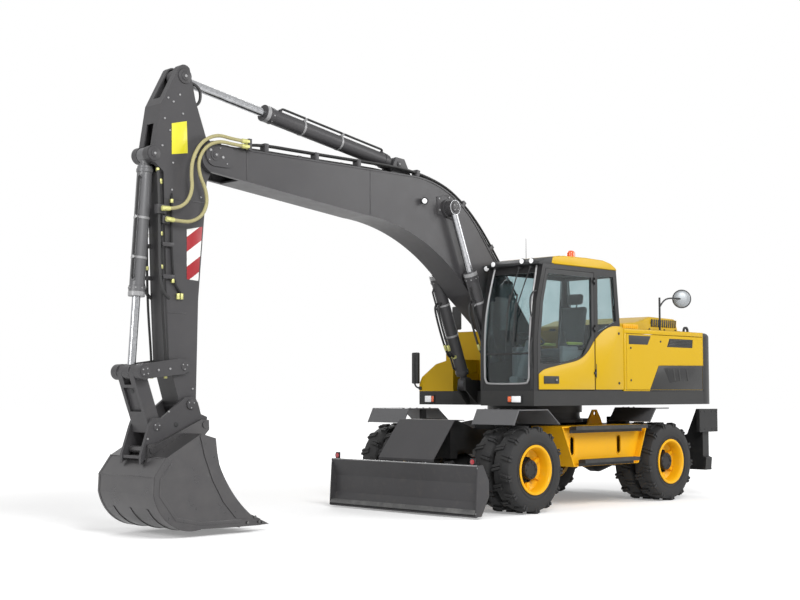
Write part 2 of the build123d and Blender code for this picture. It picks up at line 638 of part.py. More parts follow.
def hood():
    outline = poly([(HOOD_FRONT, BODY_TOP + 6), (HOOD_FRONT - 20, 2380), (-1170, 2400), (-1500, HOOD_TOP + 10),
                    (HOOD_REAR + 30, HOOD_TOP - 10), (HOOD_REAR, BODY_TOP + 6)])
    shell = along_y(outline, -HOOD_HALF, HOOD_HALF)
    rims = shell.edges().filter_by(Axis.Y, reverse=True).filter_by_position(Axis.Z, 2370, HOOD_TOP + 20)
    shell = fillet(rims, HOOD_EDGE)
    shell -= along_y(offset(outline, -18), -HOOD_HALF + 18, HOOD_HALF - 18)
    shell -= block(HOOD_REAR + 20, HOOD_FRONT - 20, -HOOD_HALF + 12, HOOD_HALF - 12, BODY_TOP, BODY_TOP + 30)
    return [shell - pin_y(HOOD_HINGE, HINGE_PIN + PIN_FIT, -HOOD_HALF - 5, HOOD_HALF + 5)]


def service_door(side):
    inner = HOUSE_HALF_WIDTH - DOOR_PLATE
    door = block(TAIL_START + 26, -346, inner, HOUSE_HALF_WIDTH, BAND_TOP + 16, BODY_TOP - 66)
    for low, high in ((BAND_TOP + 10, BAND_TOP + 40), (BODY_TOP - 90, BODY_TOP - 60)):
        door -= pin_z((DOOR_HINGE_X, inner + DOOR_PLATE / 2), HINGE_PIN + PIN_FIT, low, high)
    slant = poly([(-1885, 2050), (-1270, 2050), (-1330, 2165), (-1905, 2165)])
    door -= along_y(slant, HOUSE_HALF_WIDTH - 12, HOUSE_HALF_WIDTH + 1)
    for index in range(VENT_SLATS):
        low = 2056 + 22 * index
        slat = [(inner + 4, low + 14), (inner + 4, low + 17), (HOUSE_HALF_WIDTH - 2, low + 3), (HOUSE_HALF_WIDTH - 2, low)]
        door += along_x(poly(slat), -1895, -1275) & along_y(slant, inner, HOUSE_HALF_WIDTH)
    return [door if side > 0 else other_side(door)]


def engine():
    core = block(-1750, -650, -370, 370, DECK_Z + 40 + SEAT_GAP, 2180)
    return [core - block(-1700, -700, -320, 320, DECK_Z + 90, 2130)]


def storage_box():
    """The tool box and tanks on the right of the boom."""
    profile = poly([(-625, BAND_TOP + SEAT_GAP), (-625, 1880), (-680, 1880), (-940, 1820), (-1200, 1650),
                    (-1250, 1560), (-1250, BAND_TOP + SEAT_GAP)])
    front = along_x(profile, 420, 930)
    front -= along_x(offset(profile, -SHEET), 450, 900)
    tank = block(-300 + SEAT_GAP, 400, -HOUSE_HALF_WIDTH, -420, BAND_TOP + SEAT_GAP, BODY_TOP)
    tank -= block(-270, 370, -HOUSE_HALF_WIDTH + SHEET, -450, BAND_TOP + 30, BODY_TOP - SHEET)
    lid_cut = block(460, 890, -1300, -560, 1700, 1990)
    front -= lid_cut
    for low, high in ((452, 476), (874, 898)):
        front += pin_x(LID_HINGE, HINGE_PIN, low, high)
    return [front, tank]


def storage_lid():
    profile = poly([(-625, 1700 + SIDE_GAP), (-625, 1880), (-680, 1880), (-940, 1820), (-1125, 1700 + SIDE_GAP)])
    lid = along_x(profile, 466, 884)
    lid -= along_x(offset(profile, -12), 478, 872)
    return [lid - pin_x(LID_HINGE, HINGE_PIN + PIN_FIT, 460, 890)]


# Cab

def cab_outline():
    return poly([(CAB_REAR_LOW, BAND_TOP + SEAT_GAP), (-235, BODY_TOP), (CAB_REAR_TOP, CAB_ROOF_LOW),
                 (1325, CAB_ROOF_LOW), (1455, 2560), (CAB_FRONT, 2070), (CAB_FRONT, BAND_TOP + SEAT_GAP)])


def door_outline():
    return [(DOOR_REAR, BAND_TOP + 12), (DOOR_REAR, CAB_ROOF_LOW - 60), (1270, CAB_ROOF_LOW - 60), (1380, 2560),
            (1440, 2070), (1440, BAND_TOP + 12)]


def cab_shell():
    outline = cab_outline()
    shell = along_y(outline, CAB_RIGHT, CAB_LEFT)
    shell -= along_y(offset(outline, -CAB_WALL), CAB_RIGHT + CAB_WALL, CAB_LEFT - CAB_WALL)
    shell -= along_y(offset(poly(door_outline()), SIDE_GAP), CAB_LEFT - 100, CAB_LEFT + 50)
    windscreen = block(1000, 1700, CAB_RIGHT + 70, CAB_LEFT - 70, 1560, 2900)
    side_window = along_y(poly([(0, 2000), (-80, 2920), (1230, 2920), (1370, 2100), (1370, 1800)]), 300, 500)
    rear_window = block(-400, 100, CAB_RIGHT + 80, CAB_LEFT - 80, 2330, 2920)
    quarter = along_y(poly([(-150, 2360), (-95, 2920), (240, 2920), (240, 2200)]), CAB_LEFT - 100, CAB_LEFT + 50)
    shell -= windscreen + side_window + rear_window + quarter
    hinge_x, hinge_y = CAB_DOOR_HINGE
    for z in CAB_HINGE_LEVELS:
        shell += pin_z(CAB_DOOR_HINGE, 6, z, z + 92)
        for low in (z, z + 62):
            shell += pin_z(CAB_DOOR_HINGE, 10, low, low + 30)
            shell += block(hinge_x - 10, hinge_x + 2, CAB_LEFT - 5, hinge_y, low, low + 30)
    return [shell]


def cab_roof():
    profile = poly([(-200, CAB_ROOF_LOW + SEAT_GAP), (-60, 3100), (100, CAB_ROOF_TOP), (900, CAB_ROOF_TOP),
                    (1250, 3090), (1345, CAB_ROOF_LOW + SEAT_GAP)])
    roof = along_y(profile, CAB_RIGHT, CAB_LEFT)
    rims = roof.edges().filter_by(Axis.Y, reverse=True).filter_by_position(Axis.Z, CAB_ROOF_LOW + 20, CAB_ROOF_TOP)
    roof = fillet(rims, 18)
    return [roof - along_y(offset(profile, -12), CAB_RIGHT + 12, CAB_LEFT - 12)]


def cab_glass():
    panes = []
    lower = [(CAB_FRONT - 30, 1560), (CAB_FRONT - 30, 2070), (1425, 2560), (1330, 2895)]
    panes.append(along_y(poly(folded(lower, GLASS)), CAB_RIGHT + 70.3, CAB_LEFT - 70.3))
    panes.append(along_y(offset(poly([(0, 2000), (-80, 2920), (1230, 2920), (1370, 2100), (1370, 1800)]), -SEAT_GAP),
                         CAB_RIGHT + 15, CAB_RIGHT + 15 + GLASS))
    panes.append(along_y(offset(poly([(-150, 2360), (-95, 2920), (240, 2920), (240, 2200)]), -SEAT_GAP),
                         CAB_LEFT - 25, CAB_LEFT - 25 + GLASS))
    rear = [(-195, 2332), (-130, 2918)]
    panes.append(along_y(poly(folded(rear, GLASS)), CAB_RIGHT + 80.3, CAB_LEFT - 80.3))
    return panes


DOOR_WINDOW = [(DOOR_REAR + 50, 2150), (DOOR_REAR + 50, 2890), (1235, 2890), (1330, 2530), (1385, 2070),
               (1385, 1790), (1010, 1800), (560, 1890)]


def cab_door():
    door = along_y(poly(door_outline()), CAB_LEFT - 38, CAB_LEFT)
    door -= along_y(poly(DOOR_WINDOW), CAB_LEFT - 60, CAB_LEFT + 20)
    hinge_x, hinge_y = CAB_DOOR_HINGE
    for z in CAB_HINGE_LEVELS:
        eye = pin_z(CAB_DOOR_HINGE, 10, z + 31, z + 61)
        eye += block(hinge_x, hinge_x + 34, hinge_y - 8, hinge_y + 8, z + 31, z + 61)
        eye += block(hinge_x + 16, hinge_x + 34, CAB_LEFT - 4, hinge_y, z + 31, z + 61)
        door += eye - pin_z(CAB_DOOR_HINGE, 6 + PIN_FIT, z + 20, z + 70)
    return [door]


def cab_door_glass():
    return [along_y(offset(poly(DOOR_WINDOW), -SEAT_GAP), CAB_LEFT - 22, CAB_LEFT - 22 + GLASS)]


def seat():
    base = block(300, 700, 620, 1010, CAB_FLOOR, 1850)
    cushion = block(240, 760, 560, 1070, 1850, 1990)
    back = along_y(poly([(240, 1900), (370, 1990), (220, 2720), (110, 2700)]), 570, 1060)
    return [base + cushion + back]


def consoles():
    floor = CAB_FLOOR
    right = block(350, 1000, 450, 545, floor, 2020)
    left = block(350, 850, 1085, 1150, floor, 2020)
    column = bar((1300, 815, floor + 60), (1066, 815, 2106), 40) + block(1200, 1400, 740, 890, floor, floor + 150)
    wheel = Plane(origin=(1070, 815, 2100), z_dir=(-220, 0, 530)) * Torus(170, 14)
    spoke = Plane(origin=(1070, 815, 2100), z_dir=(-220, 0, 530)) * Box(340, 30, 16)
    return [right, left, column + wheel + spoke]


def mirrors():
    front = block(960, 990, -1340, -1210, 1560, 1990)
    front_arm = bar((943, -1225, 1500), (975, -1275, 1600), 12)
    front_arm += block(930 + SEAT_GAP, 944, -1248, -1202, 1478, 1522)
    middle = block(255, 285, -1240, -1080, 2310, 2640)
    middle_arm = bar((270, -1160, BODY_TOP + SEAT_GAP), (270, -1160, 2330), 12)
    rear_arm = bar((-1400, 1060, BODY_TOP + SEAT_GAP), (-1400, 1060, 2730), 14) + bar((-1400, 1060, 2730), (-1850, 1120, 2730), 12)
    rear = Plane(origin=(-1850, 1120, 2730), z_dir=(1, 0.6, 0)) * Cylinder(130, 30)
    return [front + front_arm, middle + middle_arm, rear_arm + rear]


def lamps():
    beacon = pin_z((210, 800), 50, CAB_ROOF_TOP + SEAT_GAP, CAB_ROOF_TOP + 95)
    left = block(CAB_FRONT + SEAT_GAP, CAB_FRONT + 22, 830, 1060, 1310, 1410)
    right = block(930 + SEAT_GAP, 952, -1140, -960, 1300, 1410)
    return [beacon, left, right]


# Boom

def boom_outline():
    fx, fz = FOOT_PIN
    tx, tz = TIP_PIN
    return make_face([
        Line((tx + 10, tz + 115), (2480, 4065)),
        ThreePointArc((2480, 4065), (1760, 3870), (1340, 3530)),
        Line((1340, 3530), (fx - 110, fz + 130)),
        ThreePointArc((fx - 110, fz + 130), (fx - 100, fz - 138), (fx + 120, fz - 120)),
        Line((fx + 120, fz - 120), (1500, 2670)),
        ThreePointArc((1500, 2670), (2220, 3220), (3300, 3510)),
        Line((3300, 3510), (tx + 60, tz - 185)),
        ThreePointArc((tx + 60, tz - 185), (tx + 165, tz - 20), (tx + 10, tz + 115)),
    ])


def boom():
    face = boom_outline()
    inner = offset(face, -BOOM_PLATE)
    flange = BOOM_HALF + 8
    shape = along_y(face, -flange, flange)
    shape -= along_y(inner, -BOOM_HALF + BOOM_PLATE, BOOM_HALF - BOOM_PLATE)
    for side in (1, -1):
        recess = along_y(inner, BOOM_HALF, flange + 5)
        shape -= recess if side > 0 else other_side(recess)
    tx, tz = TIP_PIN
    shape -= block(5130, 6000, -ARM_HALF - SIDE_GAP, ARM_HALF + SIDE_GAP, 3000, 5000)
    shape += pin_y(TIP_PIN, 150, ARM_HALF + SIDE_GAP, BOOM_HALF) + pin_y(TIP_PIN, 150, -BOOM_HALF, -ARM_HALF - SIDE_GAP)
    boss = Pos(tx - 75, tz) * SlotCenterToCenter(150, 240)
    for start, end in ((BOOM_HALF - 1, BOOM_HALF + 14), (-BOOM_HALF - 14, -BOOM_HALF + 1)):
        shape += along_y(boss, start, end)
    shape += pin_y(TIP_PIN, 60, -BOOM_HALF - 20, BOOM_HALF + 20)
    shape += pin_y(BOOM_CYL_EYE, 110, -BOOM_CYL_Y + 56, BOOM_CYL_Y - 56)
    shape += pin_y(FOOT_PIN, 135, -214, 214)
    shape -= pin_y(FOOT_PIN, 55 + PIN_FIT, -300, 300)
    cx, cz = ARM_CYL_BASE
    for near in (-95, 61):
        shape += along_y(poly([(cx - 220, 4050), (cx - 90, cz + 70), (cx + 50, cz + 80), (cx + 90, cz), (cx + 140, 4055)]),
                         near, near + 34)
    shape += pin_y(ARM_CYL_BASE, 40, -95, 95)
    start_x = TIP_HOSES[0][0][0]
    shape += block(start_x - 40, start_x, BOOM_HALF - 2, HOSE_Y + HOSE_RADIUS + 4, 4035, 4160)
    return [shape]


# The two hoses at the arm's knee: points of each route (x, y, z), which leave the block on the boom along X
TIP_HOSES = [
    [(5080, HOSE_Y, 4128), (5280, HOSE_Y, 4128), (5490, 250, 4150), (5690, 256, 4055), (5810, 258, 3860),
     (5825, 254, 3690), (5800, 250, 3540), (5860, 245, 3390), (6000, 240, 3310), (6153, 236, 3305)],
    [(5080, HOSE_Y, 4072), (5265, HOSE_Y, 4072), (5460, 250, 4085), (5640, 260, 4010), (5745, 264, 3850),
     (5725, 262, 3690), (5640, 258, 3550), (5615, 254, 3405), (5675, 250, 3270), (5805, 245, 3195),
     (5955, 240, 3190), (6100, 236, 3200)],
]


def hose_bends(points):
    """The bend radius at each inner point of a route."""
    radii = []
    for before, point, after in zip(points, points[1:], points[2:]):
        first = Vector(*point) - Vector(*before)
        second = Vector(*after) - Vector(*point)
        turn = math.radians(first.get_angle(second))
        radii.append(0.45 * min(first.length, second.length) / math.tan(turn / 2))
    return radii


def tip_hose(points):
    """A plain tube of straight runs joined by tangent arcs."""
    radii = hose_bends(points)
    print("hose bend radii, mm:", ", ".join(format(radius, ".0f") for radius in radii))
    route = FilletPolyline(*points, radius=radii)
    start = Plane(origin=points[0], z_dir=(1, 0, 0))
    return [sweep(start * Circle(HOSE_RADIUS), path=route)]


# Arm

def arm_outline():
    x, z = TIP_PIN
    ax, az = ARM_CYL_EYE
    bx, bz = BUCKET_CYL_BASE
    return make_face([
        Line((ax - 60, az + 90), (5700, 4490)),
        Line((5700, 4490), (5560, 4120)),
        Line((5560, 4120), (x - 20, z + 128)),
        ThreePointArc((x - 20, z + 128), (x - 130, z), (x - 20, z - 128)),
        Line((x - 20, z - 128), (5545, 3650)),
        Line((5545, 3650), (5640, 2400)),
        Line((5640, 2400), (ARM_TIP[0] - 95, ARM_TIP[1] + 60)),
        ThreePointArc((ARM_TIP[0] - 95, ARM_TIP[1] + 60), (ARM_TIP[0], ARM_TIP[1] - 105), (ARM_TIP[0] + 105, ARM_TIP[1])),
        Line((ARM_TIP[0] + 105, ARM_TIP[1]), (5990, 1750)),
        Line((5990, 1750), (6030, 2380)),
        Line((6030, 2380), (6090, 3700)),
        Line((6090, 3700), (bx - 10, bz - 85)),
        ThreePointArc((bx - 10, bz - 85), (bx + 80, bz + 10), (bx - 10, bz + 90)),
        Line((bx - 10, bz + 90), (6130, 4400)),
        Line((6130, 4400), (ax + 75, az + 85)),
        ThreePointArc((ax + 75, az + 85), (ax + 10, az + 120), (ax - 60, az + 90)),
    ])


def arm():
    face = arm_outline()
    shape = along_y(face, -ARM_HALF, ARM_HALF)
    shape -= along_y(offset(face, -ARM_PLATE), -ARM_HALF + ARM_PLATE, ARM_HALF - ARM_PLATE)
    shape += pin_y(TIP_PIN, 125, -ARM_HALF, ARM_HALF)
    shape -= pin_y(TIP_PIN, 60 + PIN_FIT, -ARM_HALF - 5, ARM_HALF + 5)
    ax, az = ARM_CYL_EYE
    shape -= block(5400, 6400, -61, 61, 4480, 5000)
    bx, bz = BUCKET_CYL_BASE
    shape -= block(6080, 6500, -61, 61, 3400, 4200)
    shape -= block(6115, 6500, -94, 94, 3400, 3772)
    for point in (ARM_TIP, ROCKER_PIN):
        shape += pin_y(point, 90, -ARM_HALF, ARM_HALF)
    shape += pin_y(BUCKET_CYL_BASE, 38, -ARM_HALF, ARM_HALF)
    shape += pin_y(ROCKER_PIN, 42, -195, 195)
    shape += pin_y(ARM_TIP, 45, -195, 195)
    return [shape]


# Bucket linkage

def rocker():
    """Two levers outside the arm, joined by a tube at the link pin."""
    x, z = ROCKER_PIN
    kx, kz = LINK_PIN
    outline = poly([(x - 70, z - 40), (x - 60, z + 60), (x + 60, z + 78), (kx - 30, kz + 78), (kx + 60, kz + 45),
                    (kx + 75, kz - 30), (kx, kz - 78), (x, z - 78)])
    lever = along_y(outline, CHEEK_INNER, CHEEK_INNER + CHEEK_PLATE)
    lever -= pin_y(ROCKER_PIN, 42 + PIN_FIT, 140, 200)
    lever += pin_y(LINK_PIN, 80, CHEEK_INNER, 250)
    lever += pin_y(LINK_PIN, 40, 62, CHEEK_INNER + 5)
    return [lever, other_side(lever)]


def link():
    """The link from the rocker's pin down to the coupler, with a fork round the rod's eye."""
    kx, kz = LINK_PIN
    jx, jz = COUPLER_PIN
    outline = poly([(kx - 78, kz - 10), (kx - 40, kz + 70), (kx + 40, kz + 70), (kx + 78, kz - 10), (jx + 85, jz + 40),
                    (jx + 60, jz - 60), (jx - 60, jz - 60), (jx - 75, jz + 20)])
    body = along_y(outline, -145, 145)
    body -= block(kx - 300, kx + 300, -62, 62, kz - 130, kz + 200)
    body -= block(kx - 300, kx + 300, -100, 100, jz + 150, kz - 160)
    body -= pin_y(LINK_PIN, 40 + PIN_FIT, -150, 150)
    return [body]


def coupler():
    qx, qz = ARM_TIP
    jx, jz = COUPLER_PIN
    outline = poly([(qx - 90, qz + 20), (qx - 30, qz + 82), (qx + 70, qz + 70), (jx - 60, jz + 85), (jx + 60, jz + 85),
                    (jx + 95, jz), (6345, 820), (6345, 730), (6270, 812), (6000, 960), (5870, 1045), (5780, 1052),
                    (5700, 1060), (5640, 1010), (5560, 1030), (5540, 1190), (5620, 1220)])
    plate = along_y(outline, CHEEK_INNER, CHEEK_INNER + CHEEK_PLATE)
    plate -= pin_y(ARM_TIP, 45 + PIN_FIT, 140, 200)
    plate += pin_y(COUPLER_PIN, 70, CHEEK_INNER, CHEEK_INNER + CHEEK_PLATE)
    hook_x, hook_z = HOOK_PIN
    plate -= pin_y(HOOK_PIN, HOOK_RADIUS + SEAT_GAP, 100, 300)
    plate -= block(5400, hook_x, 100, 300, hook_z - HOOK_RADIUS - SEAT_GAP, hook_z + HOOK_RADIUS + SEAT_GAP)
    plate -= pin_y(LOCK_PIN, HOOK_RADIUS + SEAT_GAP, 100, 300)
    shape = plate + other_side(plate)
    shape += block(6295, 6335, -CHEEK_INNER - 5, CHEEK_INNER + 5, 785, 815)
    shape += block(5800, 5880, -CHEEK_INNER - 5, CHEEK_INNER + 5, 1080, 1150)
    return [shape]


def bucket_outline():
    return make_face([
        Line((4925, 68), (5340, 70)),
        Line((5340, 70), (5840, 80)),
        ThreePointArc((5840, 80), (6200, 150), (6400, 440)),
        Line((6400, 440), (6395, 620)),
        Line((6395, 620), (6260, 800)),
        Line((6260, 800), (5840, 1030)),
        Line((5840, 1030), (5660, 980)),
        Line((5660, 980), (5630, 760)),
        ThreePointArc((5630, 760), (5440, 420), (5210, 190)),
        Line((5210, 190), (4925, 68)),
    ])


def bucket():
    face = bucket_outline()
    shape = along_y(face, -BUCKET_HALF, BUCKET_HALF)
    hollow = make_face([
        Line((4800, 95), (5340, 95)),
        Line((5340, 95), (5840, 105)),
        ThreePointArc((5840, 105), (6180, 170), (6380, 440)),
        Line((6380, 440), (6375, 610)),
        Line((6375, 610), (6245, 785)),
        Line((6245, 785), (5850, 1000)),
        Line((5850, 1000), (5300, 1000)),
        Line((5300, 1000), (4800, 95)),
    ])
    shape -= along_y(hollow, -BUCKET_HALF + 22, BUCKET_HALF - 22)
    shape -= block(4800, 5075, -BUCKET_HALF - 1, BUCKET_HALF + 1, 0, 300)
    adapter = poly([(5070, 72), (5180, 68), (5180, 118), (5135, 124), (5060, 116)])
    tooth = poly([(4925, 70), (5082, 66), (5082, 122), (5040, 118)])
    for index in range(TEETH):
        middle = (index - (TEETH - 1) / 2) * TOOTH_PITCH
        side = TOOTH_WIDTH / 2
        shape += along_y(adapter, middle - side, middle + side)
        point = along_y(tooth, middle - side + 8, middle + side - 8)
        for turn in (1, -1):
            taper = Pos(4925, middle + turn * side, 90) * Rot(0, 0, turn * 8) * Box(300, 44, 100)
            point -= taper
        shape += point
    cutter = poly([(5255, 205), (5455, 420), (5600, 640), (5650, 850), (5668, 975), (5840, 1022), (5860, 1010),
                   (5800, 800), (5700, 560), (5560, 330), (5400, 160), (5215, 150)])
    for start in (BUCKET_HALF - 1, -BUCKET_HALF - SIDE_CUTTER):
        shape += along_y(cutter, start, start + SIDE_CUTTER + 1)
    for side in (1, -1):
        ear = along_y(poly([(5540, 1060), (5545, 1160), (5640, 1165), (6050, 985), (6180, 935), (6285, 925), (6300, 700),
                            (6220, 760), (5800, 980), (5640, 960)]), 195, 225)
        shape += ear if side > 0 else other_side(ear)
    shape += pin_y(HOOK_PIN, HOOK_RADIUS, -235, 235) + pin_y(LOCK_PIN, HOOK_RADIUS, -235, 235)
    return [shape]


# Cylinders of the front

def front_cylinders():
    nodes = {}
    left_barrel, left_rod = side_cylinder(BOOM_CYL_BASE, BOOM_CYL_EYE, BOOM_CYL_Y, 1500, 680, 80, 45, 90, 100, 40)
    nodes["boom_cylinder_barrels"] = [left_barrel, other_side(left_barrel)]
    nodes["boom_cylinder_rods"] = [left_rod, other_side(left_rod)]
    barrel, rod = side_cylinder(ARM_CYL_BASE, ARM_CYL_EYE, 0, 2060, 1050, 88, 50, 90, 110, 40)
    nodes["arm_cylinder_barrel"] = [barrel]
    nodes["arm_cylinder_rod"] = [rod]
    barrel, rod = side_cylinder(BUCKET_CYL_BASE, LINK_PIN, 0, 1462, 560, 78, 42, 78, 110, 38)
    nodes["bucket_cylinder_barrel"] = [barrel]
    nodes["bucket_cylinder_rod"] = [rod]
    barrel, rod = side_cylinder(BLADE_CYL_BASE, BLADE_CYL_EYE, BLADE_CYL_Y, 385, 105, 50, 28, 42, 50, 22)
    nodes["blade_cylinder_barrels"] = [barrel, other_side(barrel)]
    nodes["blade_cylinder_rods"] = [rod, other_side(rod)]
    barrel, rod = cross_cylinder(STAB_CYL_BASE, STAB_CYL_EYE, STAB_X, 480, 0, 50, 28, 50, 100, STAB_PIN - 8)
    nodes["stabiliser_barrel_left"] = [barrel]
    nodes["stabiliser_rod_left"] = [rod]
    nodes["stabiliser_barrel_right"] = [other_side(barrel)]
    nodes["stabiliser_rod_right"] = [other_side(rod)]
    return nodes


def build():
    nodes = {}
    nodes["chassis_frame"] = chassis_frame()
    nodes["front_axle"] = front_axle()
    nodes["rear_axle"] = rear_axle()
    frame = side_frame() + lashing_eye()
    nodes["side_frames"] = [frame, other_side(frame)]
    nodes["steps"] = steps()
    nodes["fenders"] = fenders()
    nodes["linkage_cover"] = linkage_cover()
    nodes["drive_line"] = drive_line()
    left = Pos(FRONT_AXLE_X, 0, AXLE_Z) * knuckle()
    nodes["knuckle_left"] = [left]
    nodes["knuckle_right"] = [other_side(left)]
    nodes["tie_rod"] = [Pos(FRONT_AXLE_X, 0, AXLE_Z) * tie_rod()]
    nodes.update(wheels())
    nodes["blade"] = blade()
    leg = stabiliser()
    nodes["stabiliser_left"] = [leg]
    nodes["stabiliser_right"] = [other_side(leg)]
    nodes.update(front_cylinders())
    nodes["upper_frame"] = upper_frame()
    nodes["counterweight"] = counterweight()
    nodes["body_panels"] = body_panels()
    nodes["hood"] = hood()
    nodes["service_door_left"] = service_door(1)
    nodes["service_door_right"] = service_door(-1)
    nodes["engine"] = engine()
    nodes["storage_box"] = storage_box()
    nodes["storage_lid"] = storage_lid()
    nodes["cab_shell"] = cab_shell()
    nodes["cab_roof"] = cab_roof()
    nodes["cab_glass"] = cab_glass()
    nodes["cab_door"] = cab_door()
    nodes["cab_door_glass"] = cab_door_glass()
    nodes["seat"] = seat()
    nodes["consoles"] = consoles()
    nodes["mirrors"] = mirrors()
    nodes["lamps"] = lamps()
    nodes["boom"] = boom()
    for number, points in enumerate(TIP_HOSES, 1):
        nodes["tip_hose_" + str(number)] = tip_hose(points)
    nodes["arm"] = arm()
    nodes["rocker"] = rocker()
    nodes["link"] = link()
    nodes["coupler"] = coupler()
    nodes["bucket"] = bucket()
    return nodes


def main():
    os.makedirs("parts", exist_ok=True)
    for name, shapes in build().items():
        placed = []
        for shape in shapes:
            placed += (Pos(-ORIGIN_SHIFT, 0, 0) * shape).solids()
        export_step(Compound(children=placed), os.path.join("parts", name + ".step"))


main()
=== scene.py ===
import math

import bmesh
import bpy
from bpy.props import FloatProperty, FloatVectorProperty, IntProperty, PointerProperty
from mathutils import Matrix, Vector


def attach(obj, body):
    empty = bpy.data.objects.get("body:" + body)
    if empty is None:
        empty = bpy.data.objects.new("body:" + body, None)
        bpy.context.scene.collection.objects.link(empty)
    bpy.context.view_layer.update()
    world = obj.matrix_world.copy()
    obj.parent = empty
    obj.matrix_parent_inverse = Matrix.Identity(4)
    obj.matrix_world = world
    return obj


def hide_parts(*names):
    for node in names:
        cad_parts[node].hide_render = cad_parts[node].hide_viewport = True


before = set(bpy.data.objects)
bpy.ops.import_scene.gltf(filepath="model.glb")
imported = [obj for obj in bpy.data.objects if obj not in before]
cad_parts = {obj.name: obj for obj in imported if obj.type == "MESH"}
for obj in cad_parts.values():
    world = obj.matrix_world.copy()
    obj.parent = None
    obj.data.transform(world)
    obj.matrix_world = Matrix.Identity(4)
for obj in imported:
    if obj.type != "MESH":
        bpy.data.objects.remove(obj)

bl_info = {
    "name": "Wheeled excavator finish",
    "version": (1, 0, 0),
    "blender": (4, 5, 0),
    "location": "3D View > Sidebar > Excavator",
    "description": "Dresses the excavator frame with its detail pieces, finishes, studio and camera",
    "category": "Object",
}

# The machine is measured from its slew axis; the frame's origin lies behind it by this much.
SLEW_TO_ORIGIN = 1.835
PHOTO_WIDTH = 800
PHOTO_FOCAL = 1322.87
SENSOR_WIDTH = 36.0
CAMERA_PLACE = (13.8113, 11.3704, 1.4463)
CAMERA_YAW = 0.7898
CAMERA_PITCH = 0.0695


def at(x, y, z):
    """A point in the frame from its place measured from the slew axis, in metres."""
    return Vector((x - SLEW_TO_ORIGIN, y, z))


def tint(red, green, blue):
    """A display colour from 0 to 255 as the linear colour a shader takes."""
    linear = []
    for value in (red, green, blue):
        part = value / 255.0
        linear.append(part / 12.92 if part <= 0.04045 else ((part + 0.055) / 1.055) ** 2.4)
    return (*linear, 1.0)


# Mesh helpers

def soften(part, width, segments=2):
    """Round the edges of a shape where its faces meet at an angle."""
    if width > 0.0:
        part.normal_update()
        edges = [edge for edge in part.edges
                 if len(edge.link_faces) == 2 and edge.calc_face_angle(0.0) > 0.35]
        bmesh.ops.bevel(part, geom=edges, offset=width, offset_type="OFFSET", segments=segments, profile=0.5,
                        affect="EDGES", clamp_overlap=True, material=-1)


def join(bm, part, slot):
    """Add a finished shape to a piece in one of the piece's materials."""
    for face in part.faces:
        face.material_index = slot
    carrier = bpy.data.meshes.new("carrier")
    part.to_mesh(carrier)
    part.free()
    bm.from_mesh(carrier)
    bpy.data.meshes.remove(carrier)


def add_block(bm, low, high, bevel=0.004, turn=None, slot=0, segments=2):
    """A rounded block between two corners, turned about its middle."""
    part = bmesh.new()
    low, high = Vector(low), Vector(high)
    place = Matrix.Translation((low + high) / 2)
    if turn is not None:
        place = place @ turn
    bmesh.ops.create_cube(part, size=1.0, matrix=place @ Matrix.Diagonal((*(high - low), 1.0)))
    soften(part, bevel, segments)
    join(bm, part, slot)


def add_rod(bm, start_point, end_point, radius, sides=16, bevel=0.0, slot=0, end_radius=None):
    """A round bar or a cone between two points."""
    part = bmesh.new()
    a, b = Vector(start_point), Vector(end_point)
    run = b - a
    place = Matrix.Translation((a + b) / 2) @ run.to_track_quat("Z", "Y").to_matrix().to_4x4()
    bmesh.ops.create_cone(part, cap_ends=True, cap_tris=False, segments=sides, radius1=radius,
                          radius2=radius if end_radius is None else end_radius, depth=run.length,
                          matrix=place)
    if bevel > 0.0:
        rims = [edge for edge in part.edges if any(len(face.verts) == sides for face in edge.link_faces)]
        bmesh.ops.bevel(part, geom=rims, offset=bevel, offset_type="OFFSET", segments=2, profile=0.5,
                        affect="EDGES",
                        clamp_overlap=True, material=-1)
    join(bm, part, slot)


def add_ball(bm, centre, radius, sides=16, slot=0, stretch=(1.0, 1.0, 1.0)):
    part = bmesh.new()
    place = Matrix.Translation(centre) @ Matrix.Diagonal((*stretch, 1.0))
    bmesh.ops.create_uvsphere(part, u_segments=sides, v_segments=max(8, sides // 2), radius=radius,
                              matrix=place)
    join(bm, part, slot)


def plate_shape(points, thickness):
    """A flat plate whose outline is a ring of points, given its thickness against its normal."""
    part = bmesh.new()
    face = part.faces.new([part.verts.new(point) for point in points])
    part.normal_update()
    move = face.normal * -thickness
    made = bmesh.ops.extrude_face_region(part, geom=[face], use_keep_orig=True)
    shifted = [item for item in made["geom"] if isinstance(item, bmesh.types.BMVert)]
    bmesh.ops.translate(part, verts=shifted, vec=move)
    bmesh.ops.recalc_face_normals(part, faces=part.faces[:])
    return part


def add_plate(bm, points, thickness, bevel=0.0, slot=0, segments=2):
    part = plate_shape(points, thickness)
    soften(part, bevel, segments)
    join(bm, part, slot)


def add_turned(bm, profile, centre, axis, sides=48, slot=0):
    """A closed ring turned about an axis: the profile gives (radius, distance along the axis)."""
    part = bmesh.new()
    axis = Vector(axis).normalized()
    outward = axis.orthogonal().normalized()
    verts = [part.verts.new(Vector(centre) + outward * radius + axis * along) for radius, along in profile]
    edges = [part.edges.new((verts[i], verts[(i + 1) % len(verts)])) for i in range(len(verts))]
    bmesh.ops.spin(part, geom=verts + edges, cent=centre, axis=axis, angle=math.tau, steps=sides,
                   use_merge=True)
    bmesh.ops.remove_doubles(part, verts=part.verts[:], dist=0.00001)
    bmesh.ops.recalc_face_normals(part, faces=part.faces[:])
    join(bm, part, slot)


